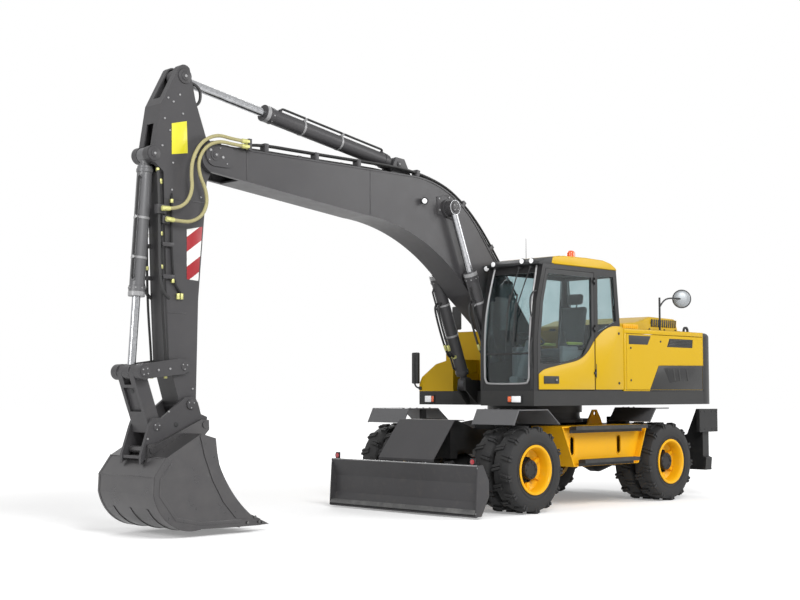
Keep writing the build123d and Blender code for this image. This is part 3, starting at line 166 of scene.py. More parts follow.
def smooth_line(points):
    """Points along the smooth curve that a line of control points draws."""
    curve = bpy.data.curves.new("smooth_line", "CURVE")
    curve.dimensions = "3D"
    line = curve.splines.new("NURBS")
    line.points.add(len(points) - 1)
    for control, point in zip(line.points, points):
        control.co = (*point, 1.0)
    line.order_u = 3
    line.use_endpoint_u = True
    curve.resolution_u = 5
    holder = bpy.data.objects.new("smooth_line", curve)
    flat = bpy.data.meshes.new_from_object(holder)
    path = [vert.co.copy() for vert in flat.vertices]
    bpy.data.objects.remove(holder)
    bpy.data.curves.remove(curve)
    bpy.data.meshes.remove(flat)
    return path


def add_hose(bm, points, radius, sides=10, slot=0):
    """A pipe or clamped hose along a smooth line through its points."""
    path = smooth_line([Vector(point) for point in points])
    part = bmesh.new()
    before = None
    normal = (path[1] - path[0]).orthogonal().normalized()
    for index, point in enumerate(path):
        ahead = (path[min(index + 1, len(path) - 1)] - path[max(index - 1, 0)]).normalized()
        normal = (normal - ahead * normal.dot(ahead)).normalized()
        place = Matrix.Translation(point) @ Matrix((normal, ahead.cross(normal), ahead)).transposed().to_4x4()
        ring = bmesh.ops.create_circle(part, segments=sides, radius=radius, matrix=place,
                                       cap_ends=index in (0, len(path) - 1))["verts"]
        if before is not None:
            for side in range(sides):
                follow = (side + 1) % sides
                part.faces.new((before[side], before[follow], ring[follow], ring[side]))
        before = ring
    bmesh.ops.recalc_face_normals(part, faces=part.faces[:])
    join(bm, part, slot)


def turned_y(degrees):
    return Matrix.Rotation(math.radians(degrees), 4, "Y")


def turned_x(degrees):
    return Matrix.Rotation(math.radians(degrees), 4, "X")


def turned_z(degrees):
    return Matrix.Rotation(math.radians(degrees), 4, "Z")


def make_piece(name, bm, materials, body, smooth=35.0):
    """Turn a bmesh into a finished object that rides on a body."""
    bmesh.ops.translate(bm, verts=bm.verts, vec=(-SLEW_TO_ORIGIN, 0.0, 0.0))
    mesh = bpy.data.meshes.new(name)
    bm.to_mesh(mesh)
    bm.free()
    piece = bpy.data.objects.new(name, mesh)
    bpy.context.scene.collection.objects.link(piece)
    for material in materials:
        mesh.materials.append(bpy.data.materials[material])
    mesh.shade_smooth()
    mesh.set_sharp_from_angle(angle=math.radians(smooth))
    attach(piece, body)
    return piece


# Shader groups and materials

def feed(tree, node, inputs):
    """Link each input that is given as a socket, and set any other."""
    for key, value in inputs.items():
        if isinstance(value, bpy.types.NodeSocket):
            tree.links.new(value, node.inputs[key])
        else:
            node.inputs[key].default_value = value


def put(tree, kind, inputs=None, **settings):
    """Add a shader node with its settings and inputs."""
    node = tree.nodes.new(kind)
    for key, value in settings.items():
        setattr(node, key, value)
    feed(tree, node, inputs or {})
    return node


def mix_colour(tree, factor, first, second):
    # a Mix node's factor, first and second colour are inputs 0, 6 and 7
    return put(tree, "ShaderNodeMix", {0: factor, 6: first, 7: second}, data_type="RGBA",
               blend_type="MIX").outputs[2]


def start_group(name, inputs, outputs):
    group = bpy.data.node_groups.new(name, "ShaderNodeTree")
    for label, kind, default in inputs:
        socket = group.interface.new_socket(label, in_out="INPUT", socket_type=kind)
        if default is not None:
            socket.default_value = default
    for label, kind in outputs:
        group.interface.new_socket(label, in_out="OUTPUT", socket_type=kind)
    return group, group.nodes.new("NodeGroupInput"), group.nodes.new("NodeGroupOutput")


def build_groups():
    """Coat weathering for painted surfaces, and a fine grain for castings, rubber and plastic."""
    group, given, result = start_group(
        "Weathered coat",
        [("Vector", "NodeSocketVector", None), ("Colour", "NodeSocketColor", (0.5, 0.5, 0.5, 1.0)),
         ("Dust", "NodeSocketColor", (0.3, 0.26, 0.2, 1.0)), ("Dust amount", "NodeSocketFloat", 0.2),
         ("Fade", "NodeSocketFloat", 0.12), ("Roughness", "NodeSocketFloat", 0.35)],
        [("Colour", "NodeSocketColor"), ("Roughness", "NodeSocketFloat"), ("Height", "NodeSocketFloat")])
    broad = put(group, "ShaderNodeTexNoise", {"Vector": given.outputs["Vector"], "Scale": 1.7, "Detail": 3.0})
    patch = put(group, "ShaderNodeTexNoise", {"Vector": given.outputs["Vector"], "Scale": 9.0, "Detail": 8.0,
                                              "Roughness": 0.65})
    peel = put(group, "ShaderNodeTexNoise", {"Vector": given.outputs["Vector"], "Scale": 220.0,
                                             "Detail": 2.0})
    faded = put(group, "ShaderNodeMath", {0: broad.outputs["Fac"], 1: given.outputs["Fade"]},
                operation="MULTIPLY")
    paler = mix_colour(group, faded.outputs[0], given.outputs["Colour"], (0.8, 0.8, 0.78, 1.0))
    spread = put(group, "ShaderNodeMapRange", {"Value": patch.outputs["Fac"], "From Min": 0.52,
                                               "From Max": 0.78})
    parts = put(group, "ShaderNodeSeparateXYZ", {"Vector": given.outputs["Vector"]})
    low = put(group, "ShaderNodeMapRange", {"Value": parts.outputs["Z"], "From Min": 1.1, "From Max": 0.0,
                                            "To Min": 0.25, "To Max": 1.0})
    amount = put(group, "ShaderNodeMath", {0: spread.outputs["Result"], 1: low.outputs["Result"]},
                 operation="MULTIPLY")
    dusty = put(group, "ShaderNodeMath", {0: amount.outputs[0], 1: given.outputs["Dust amount"]},
                operation="MULTIPLY")
    colour = mix_colour(group, dusty.outputs[0], paler, given.outputs["Dust"])
    rough = put(group, "ShaderNodeMath", {0: patch.outputs["Fac"], 1: 0.18, 2: given.outputs["Roughness"]},
                operation="MULTIPLY_ADD")
    matt = put(group, "ShaderNodeMath", {0: dusty.outputs[0], 1: 0.5, 2: rough.outputs[0]},
               operation="MULTIPLY_ADD")
    feed(group, result, {"Colour": colour, "Roughness": matt.outputs[0], "Height": peel.outputs["Fac"]})

    group, given, result = start_group(
        "Fine grain",
        [("Vector", "NodeSocketVector", None), ("Colour", "NodeSocketColor", (0.1, 0.1, 0.1, 1.0)),
         ("Worn", "NodeSocketColor", (0.2, 0.2, 0.2, 1.0)), ("Wear", "NodeSocketFloat", 0.3),
         ("Scale", "NodeSocketFloat", 150.0), ("Roughness", "NodeSocketFloat", 0.6)],
        [("Colour", "NodeSocketColor"), ("Roughness", "NodeSocketFloat"), ("Height", "NodeSocketFloat")])
    cells = put(group, "ShaderNodeTexVoronoi", {"Vector": given.outputs["Vector"],
                                                "Scale": given.outputs["Scale"]})
    cloud = put(group, "ShaderNodeTexNoise", {"Vector": given.outputs["Vector"], "Scale": 6.0, "Detail": 7.0,
                                              "Roughness": 0.6})
    worn = put(group, "ShaderNodeMapRange", {"Value": cloud.outputs["Fac"], "From Min": 0.42,
                                             "From Max": 0.75})
    share = put(group, "ShaderNodeMath", {0: worn.outputs["Result"], 1: given.outputs["Wear"]},
                operation="MULTIPLY")
    colour = mix_colour(group, share.outputs[0], given.outputs["Colour"], given.outputs["Worn"])
    rough = put(group, "ShaderNodeMath", {0: cloud.outputs["Fac"], 1: 0.2, 2: given.outputs["Roughness"]},
                operation="MULTIPLY_ADD")
    feed(group, result, {"Colour": colour, "Roughness": rough.outputs[0],
                         "Height": cells.outputs["Distance"]})


def new_material(name):
    material = bpy.data.materials.new(name)
    material.use_nodes = True
    tree = material.node_tree
    tree.nodes.clear()
    output = tree.nodes.new("ShaderNodeOutputMaterial")
    shader = tree.nodes.new("ShaderNodeBsdfPrincipled")
    tree.links.new(shader.outputs[0], output.inputs["Surface"])
    place = tree.nodes.new("ShaderNodeTexCoord")
    return tree, shader, place.outputs["Object"]


def from_group(name, group_name, values, strength, depth):
    """A material whose colour, roughness and bump come from a shader group."""
    tree, shader, vector = new_material(name)
    group = put(tree, "ShaderNodeGroup", {}, node_tree=bpy.data.node_groups[group_name])
    feed(tree, group, {"Vector": vector, **values})
    bump = put(tree, "ShaderNodeBump", {"Height": group.outputs["Height"], "Strength": strength,
                                        "Distance": depth})
    feed(tree, shader, {"Base Color": group.outputs["Colour"], "Roughness": group.outputs["Roughness"],
                        "Normal": bump.outputs["Normal"]})
    return tree, shader


def painted(name, colour, dust=0.25, fade=0.1, roughness=0.3, coat=0.4, gloss=0.45):
    tree, shader = from_group(name, "Weathered coat", {
        "Colour": colour, "Dust": tint(150, 140, 122), "Dust amount": dust, "Fade": fade,
                                                       "Roughness": roughness}, 0.02, 0.001)
    feed(tree, shader, {"Coat Weight": coat, "Coat Roughness": 0.12, "Specular IOR Level": gloss})


def grained(name, colour, worn, wear=0.3, scale=150.0, roughness=0.6, metallic=0.0, strength=0.15):
    tree, shader = from_group(name, "Fine grain", {
        "Colour": colour, "Worn": worn, "Wear": wear, "Scale": scale, "Roughness": roughness}, strength,
                              0.001)
    feed(tree, shader, {"Metallic": metallic})


def hard_chrome(name):
    """Polished rod plating with faint marks round the rod."""
    tree, shader, vector = new_material(name)
    marks = put(tree, "ShaderNodeTexNoise", {"Vector": vector, "Scale": 35.0, "Detail": 6.0})
    tone = put(tree, "ShaderNodeMapRange", {"Value": marks.outputs["Fac"], "To Min": 0.10, "To Max": 0.26})
    colour = mix_colour(tree, marks.outputs["Fac"], tint(128, 129, 132), tint(190, 191, 193))
    feed(tree, shader, {"Base Color": colour, "Roughness": tone.outputs["Result"], "Metallic": 0.92})


def clear_glass(name, colour, roughness=0.02):
    tree, shader, vector = new_material(name)
    film = put(tree, "ShaderNodeTexNoise", {"Vector": vector, "Scale": 5.0, "Detail": 6.0})
    dusty = put(tree, "ShaderNodeMapRange", {"Value": film.outputs["Fac"], "From Min": 0.45,
                                             "To Min": roughness,
                                             "To Max": roughness + 0.05})
    shade = mix_colour(tree, film.outputs["Fac"], colour, tint(212, 224, 226))
    feed(tree, shader, {"Base Color": shade, "Roughness": dusty.outputs["Result"], "Transmission Weight": 1.0,
                        "IOR": 1.38})


def warning_stripes(name):
    """Red and white diagonal bands across a panel on the arm's side."""
    tree, shader, vector = new_material(name)
    parts = put(tree, "ShaderNodeSeparateXYZ", {"Vector": vector})
    lean = put(tree, "ShaderNodeMath", {0: parts.outputs["X"], 1: 0.72, 2: parts.outputs["Z"]},
               operation="MULTIPLY_ADD")
    count = put(tree, "ShaderNodeMath", {0: lean.outputs[0], 1: 3.2, 2: 0.12}, operation="MULTIPLY_ADD")
    step = put(tree, "ShaderNodeMath", {0: count.outputs[0]}, operation="FRACT")
    band = put(tree, "ShaderNodeMath", {0: step.outputs[0], 1: 0.5}, operation="GREATER_THAN")
    dirt = put(tree, "ShaderNodeTexNoise", {"Vector": vector, "Scale": 14.0, "Detail": 6.0})
    red = mix_colour(tree, dirt.outputs["Fac"], tint(150, 10, 22), tint(136, 14, 26))
    white = mix_colour(tree, dirt.outputs["Fac"], tint(222, 222, 220), tint(206, 206, 203))
    rough = put(tree, "ShaderNodeMapRange", {"Value": dirt.outputs["Fac"], "To Min": 0.3, "To Max": 0.5})
    feed(tree, shader, {"Base Color": mix_colour(tree, band.outputs[0], white, red),
                        "Roughness": rough.outputs["Result"]})


def hose_sleeve(name, colour, worn):
    """A woven sleeve over a hose."""
    tree, shader, vector = new_material(name)
    weave = put(tree, "ShaderNodeTexWave", {"Vector": vector, "Scale": 130.0, "Distortion": 2.0},
                bands_direction="Z")
    shade = mix_colour(tree, weave.outputs["Fac"], colour, worn)
    bump = put(tree, "ShaderNodeBump", {"Height": weave.outputs["Fac"], "Strength": 0.35, "Distance": 0.001})
    rough = put(tree, "ShaderNodeMapRange", {"Value": weave.outputs["Fac"], "To Min": 0.55, "To Max": 0.75})
    feed(tree, shader, {"Base Color": shade, "Roughness": rough.outputs["Result"],
                        "Normal": bump.outputs["Normal"]})


def lens(name, colour, glow=0.0):
    """A moulded lens with fine flutes."""
    tree, shader, vector = new_material(name)
    flutes = put(tree, "ShaderNodeTexWave", {"Vector": vector, "Scale": 90.0}, bands_direction="Y")
    shade = mix_colour(tree, flutes.outputs["Fac"], colour,
                       tuple(min(1.0, part * 1.35) for part in colour[:3]) + (1.0,))
    bump = put(tree, "ShaderNodeBump", {"Height": flutes.outputs["Fac"], "Strength": 0.2, "Distance": 0.001})
    feed(tree, shader, {"Base Color": shade, "Normal": bump.outputs["Normal"], "Roughness": 0.12,
                        "Coat Weight": 0.6})
    if glow:
        feed(tree, shader, {"Emission Color": shade, "Emission Strength": glow})


def woven_cloth(name, colour, second):
    tree, shader, vector = new_material(name)
    across = put(tree, "ShaderNodeTexWave", {"Vector": vector, "Scale": 160.0}, bands_direction="Y")
    along = put(tree, "ShaderNodeTexWave", {"Vector": vector, "Scale": 160.0}, bands_direction="Z")
    both = put(tree, "ShaderNodeMath", {0: across.outputs["Fac"], 1: along.outputs["Fac"]},
               operation="MULTIPLY")
    bump = put(tree, "ShaderNodeBump", {"Height": both.outputs[0], "Strength": 0.4, "Distance": 0.001})
    feed(tree, shader, {"Base Color": mix_colour(tree, both.outputs[0], colour, second),
                        "Normal": bump.outputs["Normal"], "Roughness": 0.85, "Sheen Weight": 0.3})


class StudioSettings(bpy.types.PropertyGroup):
    """Light, floor and camera of the studio."""

    world_strength: FloatProperty(name="World light", description="Strength of the even light from all sides",
                                  default=0.34, min=0.0)
    key_power: FloatProperty(name="Key light", description="Power of the large soft lamp", default=1300.0,
                             min=0.0,
                             unit="POWER")
    floor_glow: FloatProperty(name="Floor glow", description="How much paler the floor looks to the camera",
                              default=0.25, min=0.0)


class PaintSettings(bpy.types.PropertyGroup):
    """Colours and wear of the paint."""

    body_colour: FloatVectorProperty(name="Body colour", description="Paint of the covers and cab",
                                     default=tint(196, 158, 2)[:3], size=3, subtype="COLOR", min=0.0, max=1.0)
    chassis_colour: FloatVectorProperty(name="Chassis colour",
                                        description="Paint of the chassis and wheel rims",
                                        default=tint(236, 174, 8)[:3], size=3, subtype="COLOR", min=0.0,
                                        max=1.0)
    front_colour: FloatVectorProperty(name="Front colour", description="Paint of the boom, arm and blade",
                                      default=tint(56, 55, 57)[:3], size=3, subtype="COLOR", min=0.0, max=1.0)
    dust: FloatProperty(name="Dust", description="How much dust lies on the paint", default=0.16, min=0.0,
                        max=1.0,
                        subtype="FACTOR")


class DetailSettings(bpy.types.PropertyGroup):
    """Sizes of the repeated details."""

    bolt_size: FloatProperty(name="Bolt head", description="Radius of the wheel nuts and pin bolts",
                             default=0.016,
                             min=0.002, unit="LENGTH")
    hose_size: FloatProperty(name="Hose", description="Radius of the pressure hoses", default=0.019,
                             min=0.005,
                             unit="LENGTH")
    louvre_count: IntProperty(name="Louvres", description="Slots in each side of the hood", default=12, min=2)


def settings():
    scene = bpy.context.scene
    return scene.excavator_studio, scene.excavator_paint, scene.excavator_detail


class EXCAVATOR_OT_finishes(bpy.types.Operator):
    """Build the shader groups and every material"""

    bl_idname = "excavator.finishes"
    bl_label = "Finishes"

    def execute(self, context):
        paint = settings()[1]
        build_groups()
        body = (*paint.body_colour, 1.0)
        chassis = (*paint.chassis_colour, 1.0)
        front = (*paint.front_colour, 1.0)
        painted("Body yellow", body, dust=paint.dust * 0.4, fade=0.012, roughness=0.3, coat=0.07, gloss=0.16)
        painted("Chassis yellow", chassis, dust=paint.dust, fade=0.01, roughness=0.36, coat=0.06, gloss=0.2)
        painted("Front grey", front, dust=paint.dust * 0.6, fade=0.03, roughness=0.34, coat=0.05, gloss=0.22)
        painted("Frame grey", tint(38, 38, 38), dust=paint.dust * 0.5, fade=0.02, roughness=0.36, coat=0.05,
                gloss=0.2)
        painted("Frame black", tint(26, 26, 27), dust=paint.dust * 0.5, fade=0.015, roughness=0.36, coat=0.05,
                gloss=0.22)
        painted("Cylinder grey", tint(80, 80, 82), dust=paint.dust * 0.5, fade=0.04, roughness=0.32,
                coat=0.15, gloss=0.35)
        painted("Rim trim grey", tint(132, 132, 133), dust=paint.dust, fade=0.05, roughness=0.3, coat=0.3)
        painted("Plate yellow", tint(206, 198, 8), dust=0.1, fade=0.05, roughness=0.35, coat=0.2)
        grained("Worn steel", tint(88, 88, 88), tint(128, 127, 125), wear=0.7, scale=60.0, roughness=0.34,
                metallic=0.75, strength=0.25)
        grained("Bucket steel", tint(78, 77, 78), tint(100, 98, 97), wear=0.3, scale=40.0, roughness=0.2,
                metallic=0.6, strength=0.08)
        grained("Cast block", tint(62, 62, 64), tint(84, 82, 78), wear=0.4, scale=120.0, roughness=0.6,
                strength=0.3)
        grained("Tread rubber", tint(28, 28, 29), tint(52, 50, 47), wear=0.35, scale=260.0, roughness=0.66,
                strength=0.25)
        grained("Hose rubber", tint(24, 24, 25), tint(44, 43, 41), wear=0.3, scale=300.0, roughness=0.5)
        grained("Trim plastic", tint(26, 27, 28), tint(38, 38, 38), wear=0.3, scale=420.0, roughness=0.52)
        grained("Console plastic", tint(120, 124, 126), tint(140, 142, 143), wear=0.3, scale=420.0,
                roughness=0.55)
        grained("Fitting brass", tint(190, 188, 116), tint(212, 210, 152), wear=0.5, scale=90.0,
                roughness=0.34,
                metallic=0.35)
        grained("Mirror glass", tint(148, 152, 155), tint(160, 163, 166), wear=0.4, scale=30.0,
                roughness=0.32,
                metallic=0.6, strength=0.01)
        grained("Step grating", tint(44, 44, 44), tint(72, 70, 67), wear=0.6, scale=110.0, roughness=0.5,
                metallic=0.3, strength=0.4)
        hard_chrome("Hard chrome")
        clear_glass("Cab glazing", tint(190, 208, 210))
        warning_stripes("Warning stripes")
        hose_sleeve("Hose sleeve", tint(176, 168, 118), tint(128, 122, 88))
        lens("Amber lens", tint(214, 84, 14), glow=0.05)
        lens("Clear lens", tint(226, 228, 230), glow=0.12)
        lens("Red reflector", tint(150, 24, 36))
        woven_cloth("Seat cloth", tint(48, 50, 52), tint(74, 76, 78))
        woven_cloth("Seat stripe", tint(170, 190, 60), tint(196, 208, 96))
        finish_frame_nodes()
        return {"FINISHED"}


NODE_FINISH = {
    "Chassis yellow": ["side_frames", "rim_front_left", "rim_front_right", "rim_rear_left",
                       "rim_rear_right"],
    "Frame black": ["chassis_frame", "front_axle", "rear_axle", "drive_line", "knuckle_left", "knuckle_right",
                    "tie_rod",
                    "counterweight", "cab_shell", "stabiliser_left", "stabiliser_right",
                    "stabiliser_barrel_left",
                    "stabiliser_barrel_right"],
    "Frame grey": ["upper_frame"],
    "Body yellow": ["body_panels", "hood", "service_door_left", "service_door_right", "storage_box",
                    "storage_lid",
                    "cab_roof"],
    "Front grey": ["boom", "arm", "rocker", "link", "coupler", "blade", "boom_cylinder_barrels",
                   "arm_cylinder_barrel", "blade_cylinder_barrels", "linkage_cover"],
    "Trim plastic": ["cab_door", "mirrors"],
    "Console plastic": ["consoles"],
    "Cylinder grey": ["bucket_cylinder_barrel", "fenders"],
    "Hard chrome": ["boom_cylinder_rods", "arm_cylinder_rod", "bucket_cylinder_rod", "blade_cylinder_rods",
                    "stabiliser_rod_left", "stabiliser_rod_right"],
    "Step grating": ["steps"],
    "Cast block": ["engine"],
    "Tread rubber": ["tyres_front_left", "tyres_front_right", "tyres_rear_left", "tyres_rear_right"],
    "Cab glazing": ["cab_glass", "cab_door_glass"],
    "Seat cloth": ["seat"],
    "Clear lens": ["lamps"],
    "Bucket steel": ["bucket"],
    "Hose sleeve": ["tip_hose_1", "tip_hose_2"],
}


def finish_frame_nodes():
    """Give every carried-over CAD node its material."""
    named = {}
    for material, nodes in NODE_FINISH.items():
        for node in nodes:
            named[node] = material
    for node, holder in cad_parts.items():
        material = bpy.data.materials[named[node]]
        if not holder.material_slots:
            holder.data.materials.append(material)
        for place in holder.material_slots:
            place.material = material


class EXCAVATOR_OT_stage(bpy.types.Operator):
    """Make the floor, the lamps, the world and the camera"""

    bl_idname = "excavator.stage"
    bl_label = "Stage"

    def execute(self, context):
        studio = settings()[0]
        make_floor(studio)
        make_world(studio)
        # name, place, aim, width, share of the key power
        lamps = [
            ("key_lamp", (6.0, 10.5, 8.5), (0.5, 0.0, 1.2), 6.0, 1.0),
            ("side_lamp", (-8.0, 8.0, 6.5), (-1.5, 0.5, 1.5), 6.0, 0.45),
            ("back_lamp", (-6.0, -9.0, 7.0), (0.0, 0.0, 1.5), 6.0, 0.4),
            ("front_lamp", (13.0, 1.0, 5.0), (3.0, 0.0, 2.0), 5.0, 0.4),
        ]
        for name, place, aim, width, share in lamps:
            light = bpy.data.lights.new(name, "AREA")
            light.energy = studio.key_power * share
            light.size = width
            light.shape = "DISK"
            lamp = bpy.data.objects.new(name, light)
            lamp.location = place
            lamp.rotation_euler = (Vector(aim) - Vector(place)).to_track_quat("-Z", "Y").to_euler()
            bpy.context.scene.collection.objects.link(lamp)
        make_camera()
        bpy.context.scene.view_settings.view_transform = "Standard"
        return {"FINISHED"}


def pale_share(tree, strength):
    """Extra paleness that only the camera, reflections and glass see."""
    path = tree.nodes.new("ShaderNodeLightPath")
    seen = put(tree, "ShaderNodeMath", {0: path.outputs["Is Camera Ray"],
                                        1: path.outputs["Is Transmission Ray"]},
               operation="MAXIMUM")
    seen = put(tree, "ShaderNodeMath", {0: seen.outputs[0], 1: path.outputs["Is Glossy Ray"]},
               operation="MAXIMUM")
    return put(tree, "ShaderNodeMath", {0: seen.outputs[0], 1: strength}, operation="MULTIPLY").outputs[0]


def make_floor(studio):
    material = bpy.data.materials.new("Studio floor")
    material.use_nodes = True
    tree = material.node_tree
    tree.nodes.clear()
    output = tree.nodes.new("ShaderNodeOutputMaterial")
    place = tree.nodes.new("ShaderNodeTexCoord")
    cloud = put(tree, "ShaderNodeTexNoise", {"Vector": place.outputs["Object"], "Scale": 0.4, "Detail": 2.0})
    pale = mix_colour(tree, cloud.outputs["Fac"], (0.84, 0.84, 0.84, 1.0), (0.86, 0.86, 0.86, 1.0))
    matt = put(tree, "ShaderNodeBsdfDiffuse", {"Color": pale})
    away = put(tree, "ShaderNodeVectorMath", {0: place.outputs["Object"]}, operation="LENGTH")
    fade = put(tree, "ShaderNodeMapRange", {"Value": away.outputs["Value"], "From Min": 4.0, "From Max": 13.0,
                                            "To Min": studio.floor_glow, "To Max": 0.9},
               interpolation_type="SMOOTHSTEP")
    glow = put(tree, "ShaderNodeEmission", {"Color": (1.0, 1.0, 1.0, 1.0),
                                            "Strength": pale_share(tree, fade.outputs["Result"])})
    both = put(tree, "ShaderNodeAddShader", {0: matt.outputs[0], 1: glow.outputs[0]})
    tree.links.new(both.outputs[0], output.inputs["Surface"])
    bm = bmesh.new()
    bmesh.ops.create_circle(bm, cap_ends=True, segments=64, radius=90.0)
    mesh = bpy.data.meshes.new("studio_floor")
    bm.to_mesh(mesh)
    bm.free()
    mesh.materials.append(material)
    floor = bpy.data.objects.new("studio_floor", mesh)
    bpy.context.scene.collection.objects.link(floor)


def make_world(studio):
    world = bpy.data.worlds.new("Studio")
    bpy.context.scene.world = world
    world.use_nodes = True
    tree = world.node_tree
    tree.nodes.clear()
    output = tree.nodes.new("ShaderNodeOutputWorld")
    soft = put(tree, "ShaderNodeBackground", {"Color": (1.0, 1.0, 1.0, 1.0),
                                              "Strength": studio.world_strength})
    pale = put(tree, "ShaderNodeBackground", {"Color": (1.0, 1.0, 1.0, 1.0), "Strength": 1.0})
    both = put(tree, "ShaderNodeMixShader", {0: pale_share(tree, 1.0), 1: soft.outputs[0],
                                             2: pale.outputs[0]})
    tree.links.new(both.outputs[0], output.inputs["Surface"])


def make_camera():
    """The photograph's point of view."""
    level = math.cos(CAMERA_PITCH)
    forward = Vector((-math.cos(CAMERA_YAW) * level, -math.sin(CAMERA_YAW) * level, math.sin(CAMERA_PITCH)))
    data = bpy.data.cameras.new("camera")
    data.sensor_width = SENSOR_WIDTH
    data.lens = PHOTO_FOCAL * SENSOR_WIDTH / PHOTO_WIDTH
    data.clip_end = 400.0
    camera = bpy.data.objects.new("camera", data)
    camera.location = at(*CAMERA_PLACE)
    camera.rotation_euler = forward.to_track_quat("-Z", "Y").to_euler()
    bpy.context.scene.collection.objects.link(camera)
    bpy.context.scene.camera = camera


# Hoses at the arm's knee

# The routes' control points, measured from the slew axis, and each hose's length
TIP_HOSES = (
    ("knee_hose_upper", "tip_hose_1", 1.635, (
        (5.080, 0.240, 4.128), (5.280, 0.240, 4.128), (5.490, 0.250, 4.150), (5.690, 0.256, 4.055),
        (5.810, 0.258, 3.860), (5.825, 0.254, 3.690), (5.800, 0.250, 3.540), (5.860, 0.245, 3.390),
        (6.000, 0.240, 3.310), (6.153, 0.236, 3.305))),
    ("knee_hose_lower", "tip_hose_2", 1.804, (
        (5.080, 0.240, 4.072), (5.265, 0.240, 4.072), (5.460, 0.250, 4.085), (5.640, 0.260, 4.010),
        (5.745, 0.264, 3.850), (5.725, 0.262, 3.690), (5.640, 0.258, 3.550), (5.615, 0.254, 3.405),
        (5.675, 0.250, 3.270), (5.805, 0.245, 3.195), (5.955, 0.240, 3.190), (6.100, 0.236, 3.200))),
)


class EXCAVATOR_OT_hoses(bpy.types.Operator):
    """Hang the two knee hoses with their ferrules and nuts"""

    bl_idname = "excavator.hoses"
    bl_label = "Knee hoses"

    def execute(self, context):
        radius = settings()[2].hose_size
        for name, node, length, route in TIP_HOSES:
            path = smooth_line(route)
            bm = bmesh.new()
            for end, inward in ((path[0], (path[1] - path[0]).normalized()),
                                (path[-1], (path[-2] - path[-1]).normalized())):
                add_rod(bm, end + inward * 0.004, end + inward * 0.082, radius + 0.005, sides=20, bevel=0.003)
                for place in (0.034, 0.050, 0.066):
                    add_rod(bm, end + inward * place, end + inward * (place + 0.005), radius + 0.0065,
                            sides=20)
                add_rod(bm, end - inward * 0.012, end + inward * 0.022, radius + 0.008, sides=6, bevel=0.002)
            ends = make_piece(name + "_ends", bm, ["Fitting brass"], "boom")
            curve = bpy.data.curves.new(name, "CURVE")
            curve.dimensions = "3D"
            line = curve.splines.new("NURBS")
            line.points.add(len(route) - 1)
            for control, point in zip(line.points, route):
                control.co = (*at(*point), 1.0)
            line.order_u = 3
            line.use_endpoint_u = True
            curve.resolution_u = 10
            curve.bevel_depth = radius
            curve.bevel_resolution = 4
            curve.use_fill_caps = True
            curve.materials.append(bpy.data.materials["Hose sleeve"])
            hose = bpy.data.objects.new(name, curve)
            bpy.context.scene.collection.objects.link(hose)
            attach(hose, "boom")
            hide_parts(node)
        return {"FINISHED"}


# Wheels

# name, x of the axle, side of the machine
WHEELS = (
    ("front_left", 1.51, 1),
    ("front_right", 1.51, -1),
    ("rear_left", -1.33, 1),
    ("rear_right", -1.33, -1),
)
AXLE_HEIGHT = 0.52
TYRE_MIDDLES = (1.13, 0.81)
LUGS = 13
RIM_TABS = 6
WHEEL_NUTS = 12
HUB_BOLTS = 8
TYRE_PROFILE = (
    # radius, distance from the tyre's middle
    (0.264, -0.100), (0.300, -0.117), (0.345, -0.130), (0.410, -0.134), (0.462, -0.128), (0.486, -0.114),
    (0.495, -0.090), (0.498, 0.0), (0.495, 0.090), (0.486, 0.114), (0.462, 0.128), (0.410, 0.134),
    (0.345, 0.130), (0.300, 0.117), (0.264, 0.100),
)
RIM_PROFILE = (
    # radius, y on the left side
    (0.248, 0.677), (0.297, 0.677), (0.297, 0.691), (0.262, 0.702), (0.262, 1.236), (0.295, 1.247),
               (0.299, 1.256),
    (0.294, 1.263), (0.272, 1.263), (0.263, 1.255), (0.252, 1.210), (0.247, 1.120), (0.168, 1.086),
               (0.160, 1.070),
    (0.238, 1.040), (0.248, 0.950),
)
HUB_PROFILE = (
    # radius, y on the left side
    (0.0, 0.800), (0.158, 0.800), (0.158, 1.096), (0.150, 1.102), (0.124, 1.104), (0.118, 1.112),
               (0.116, 1.182),
    (0.108, 1.192), (0.070, 1.194), (0.066, 1.188), (0.0, 1.188),
)


def add_lug(bm, centre, turn, side):
    """One traction lug, grooved along its middle, with its two feet over the shoulder."""
    lean = Matrix.Identity(4)
    lean[0][1] = 0.22 * side
    place = Matrix.Translation(centre) @ Matrix.Rotation(turn, 4, "Y") @ lean
    # distance round the tyre, y range, radius range, width round the tyre
    for along, low, high, inner, outer, width in ((-0.020, 0.003, 0.110, 0.488, 0.5195, 0.034),
                                                  (0.020, 0.003, 0.110, 0.488, 0.5195, 0.034),
                                                  (-0.022, 0.098, 0.1335, 0.452, 0.509, 0.030),
                                                  (0.022, 0.098, 0.1335, 0.452, 0.509, 0.030)):
        part = bmesh.new()
        middle = Matrix.Translation((along, side * (low + high) / 2, (inner + outer) / 2))
        size = Matrix.Diagonal((width, high - low, outer - inner, 1.0))
        bmesh.ops.create_cube(part, size=1.0, matrix=place @ middle @ size)
        soften(part, 0.004, 1)
        join(bm, part, 0)


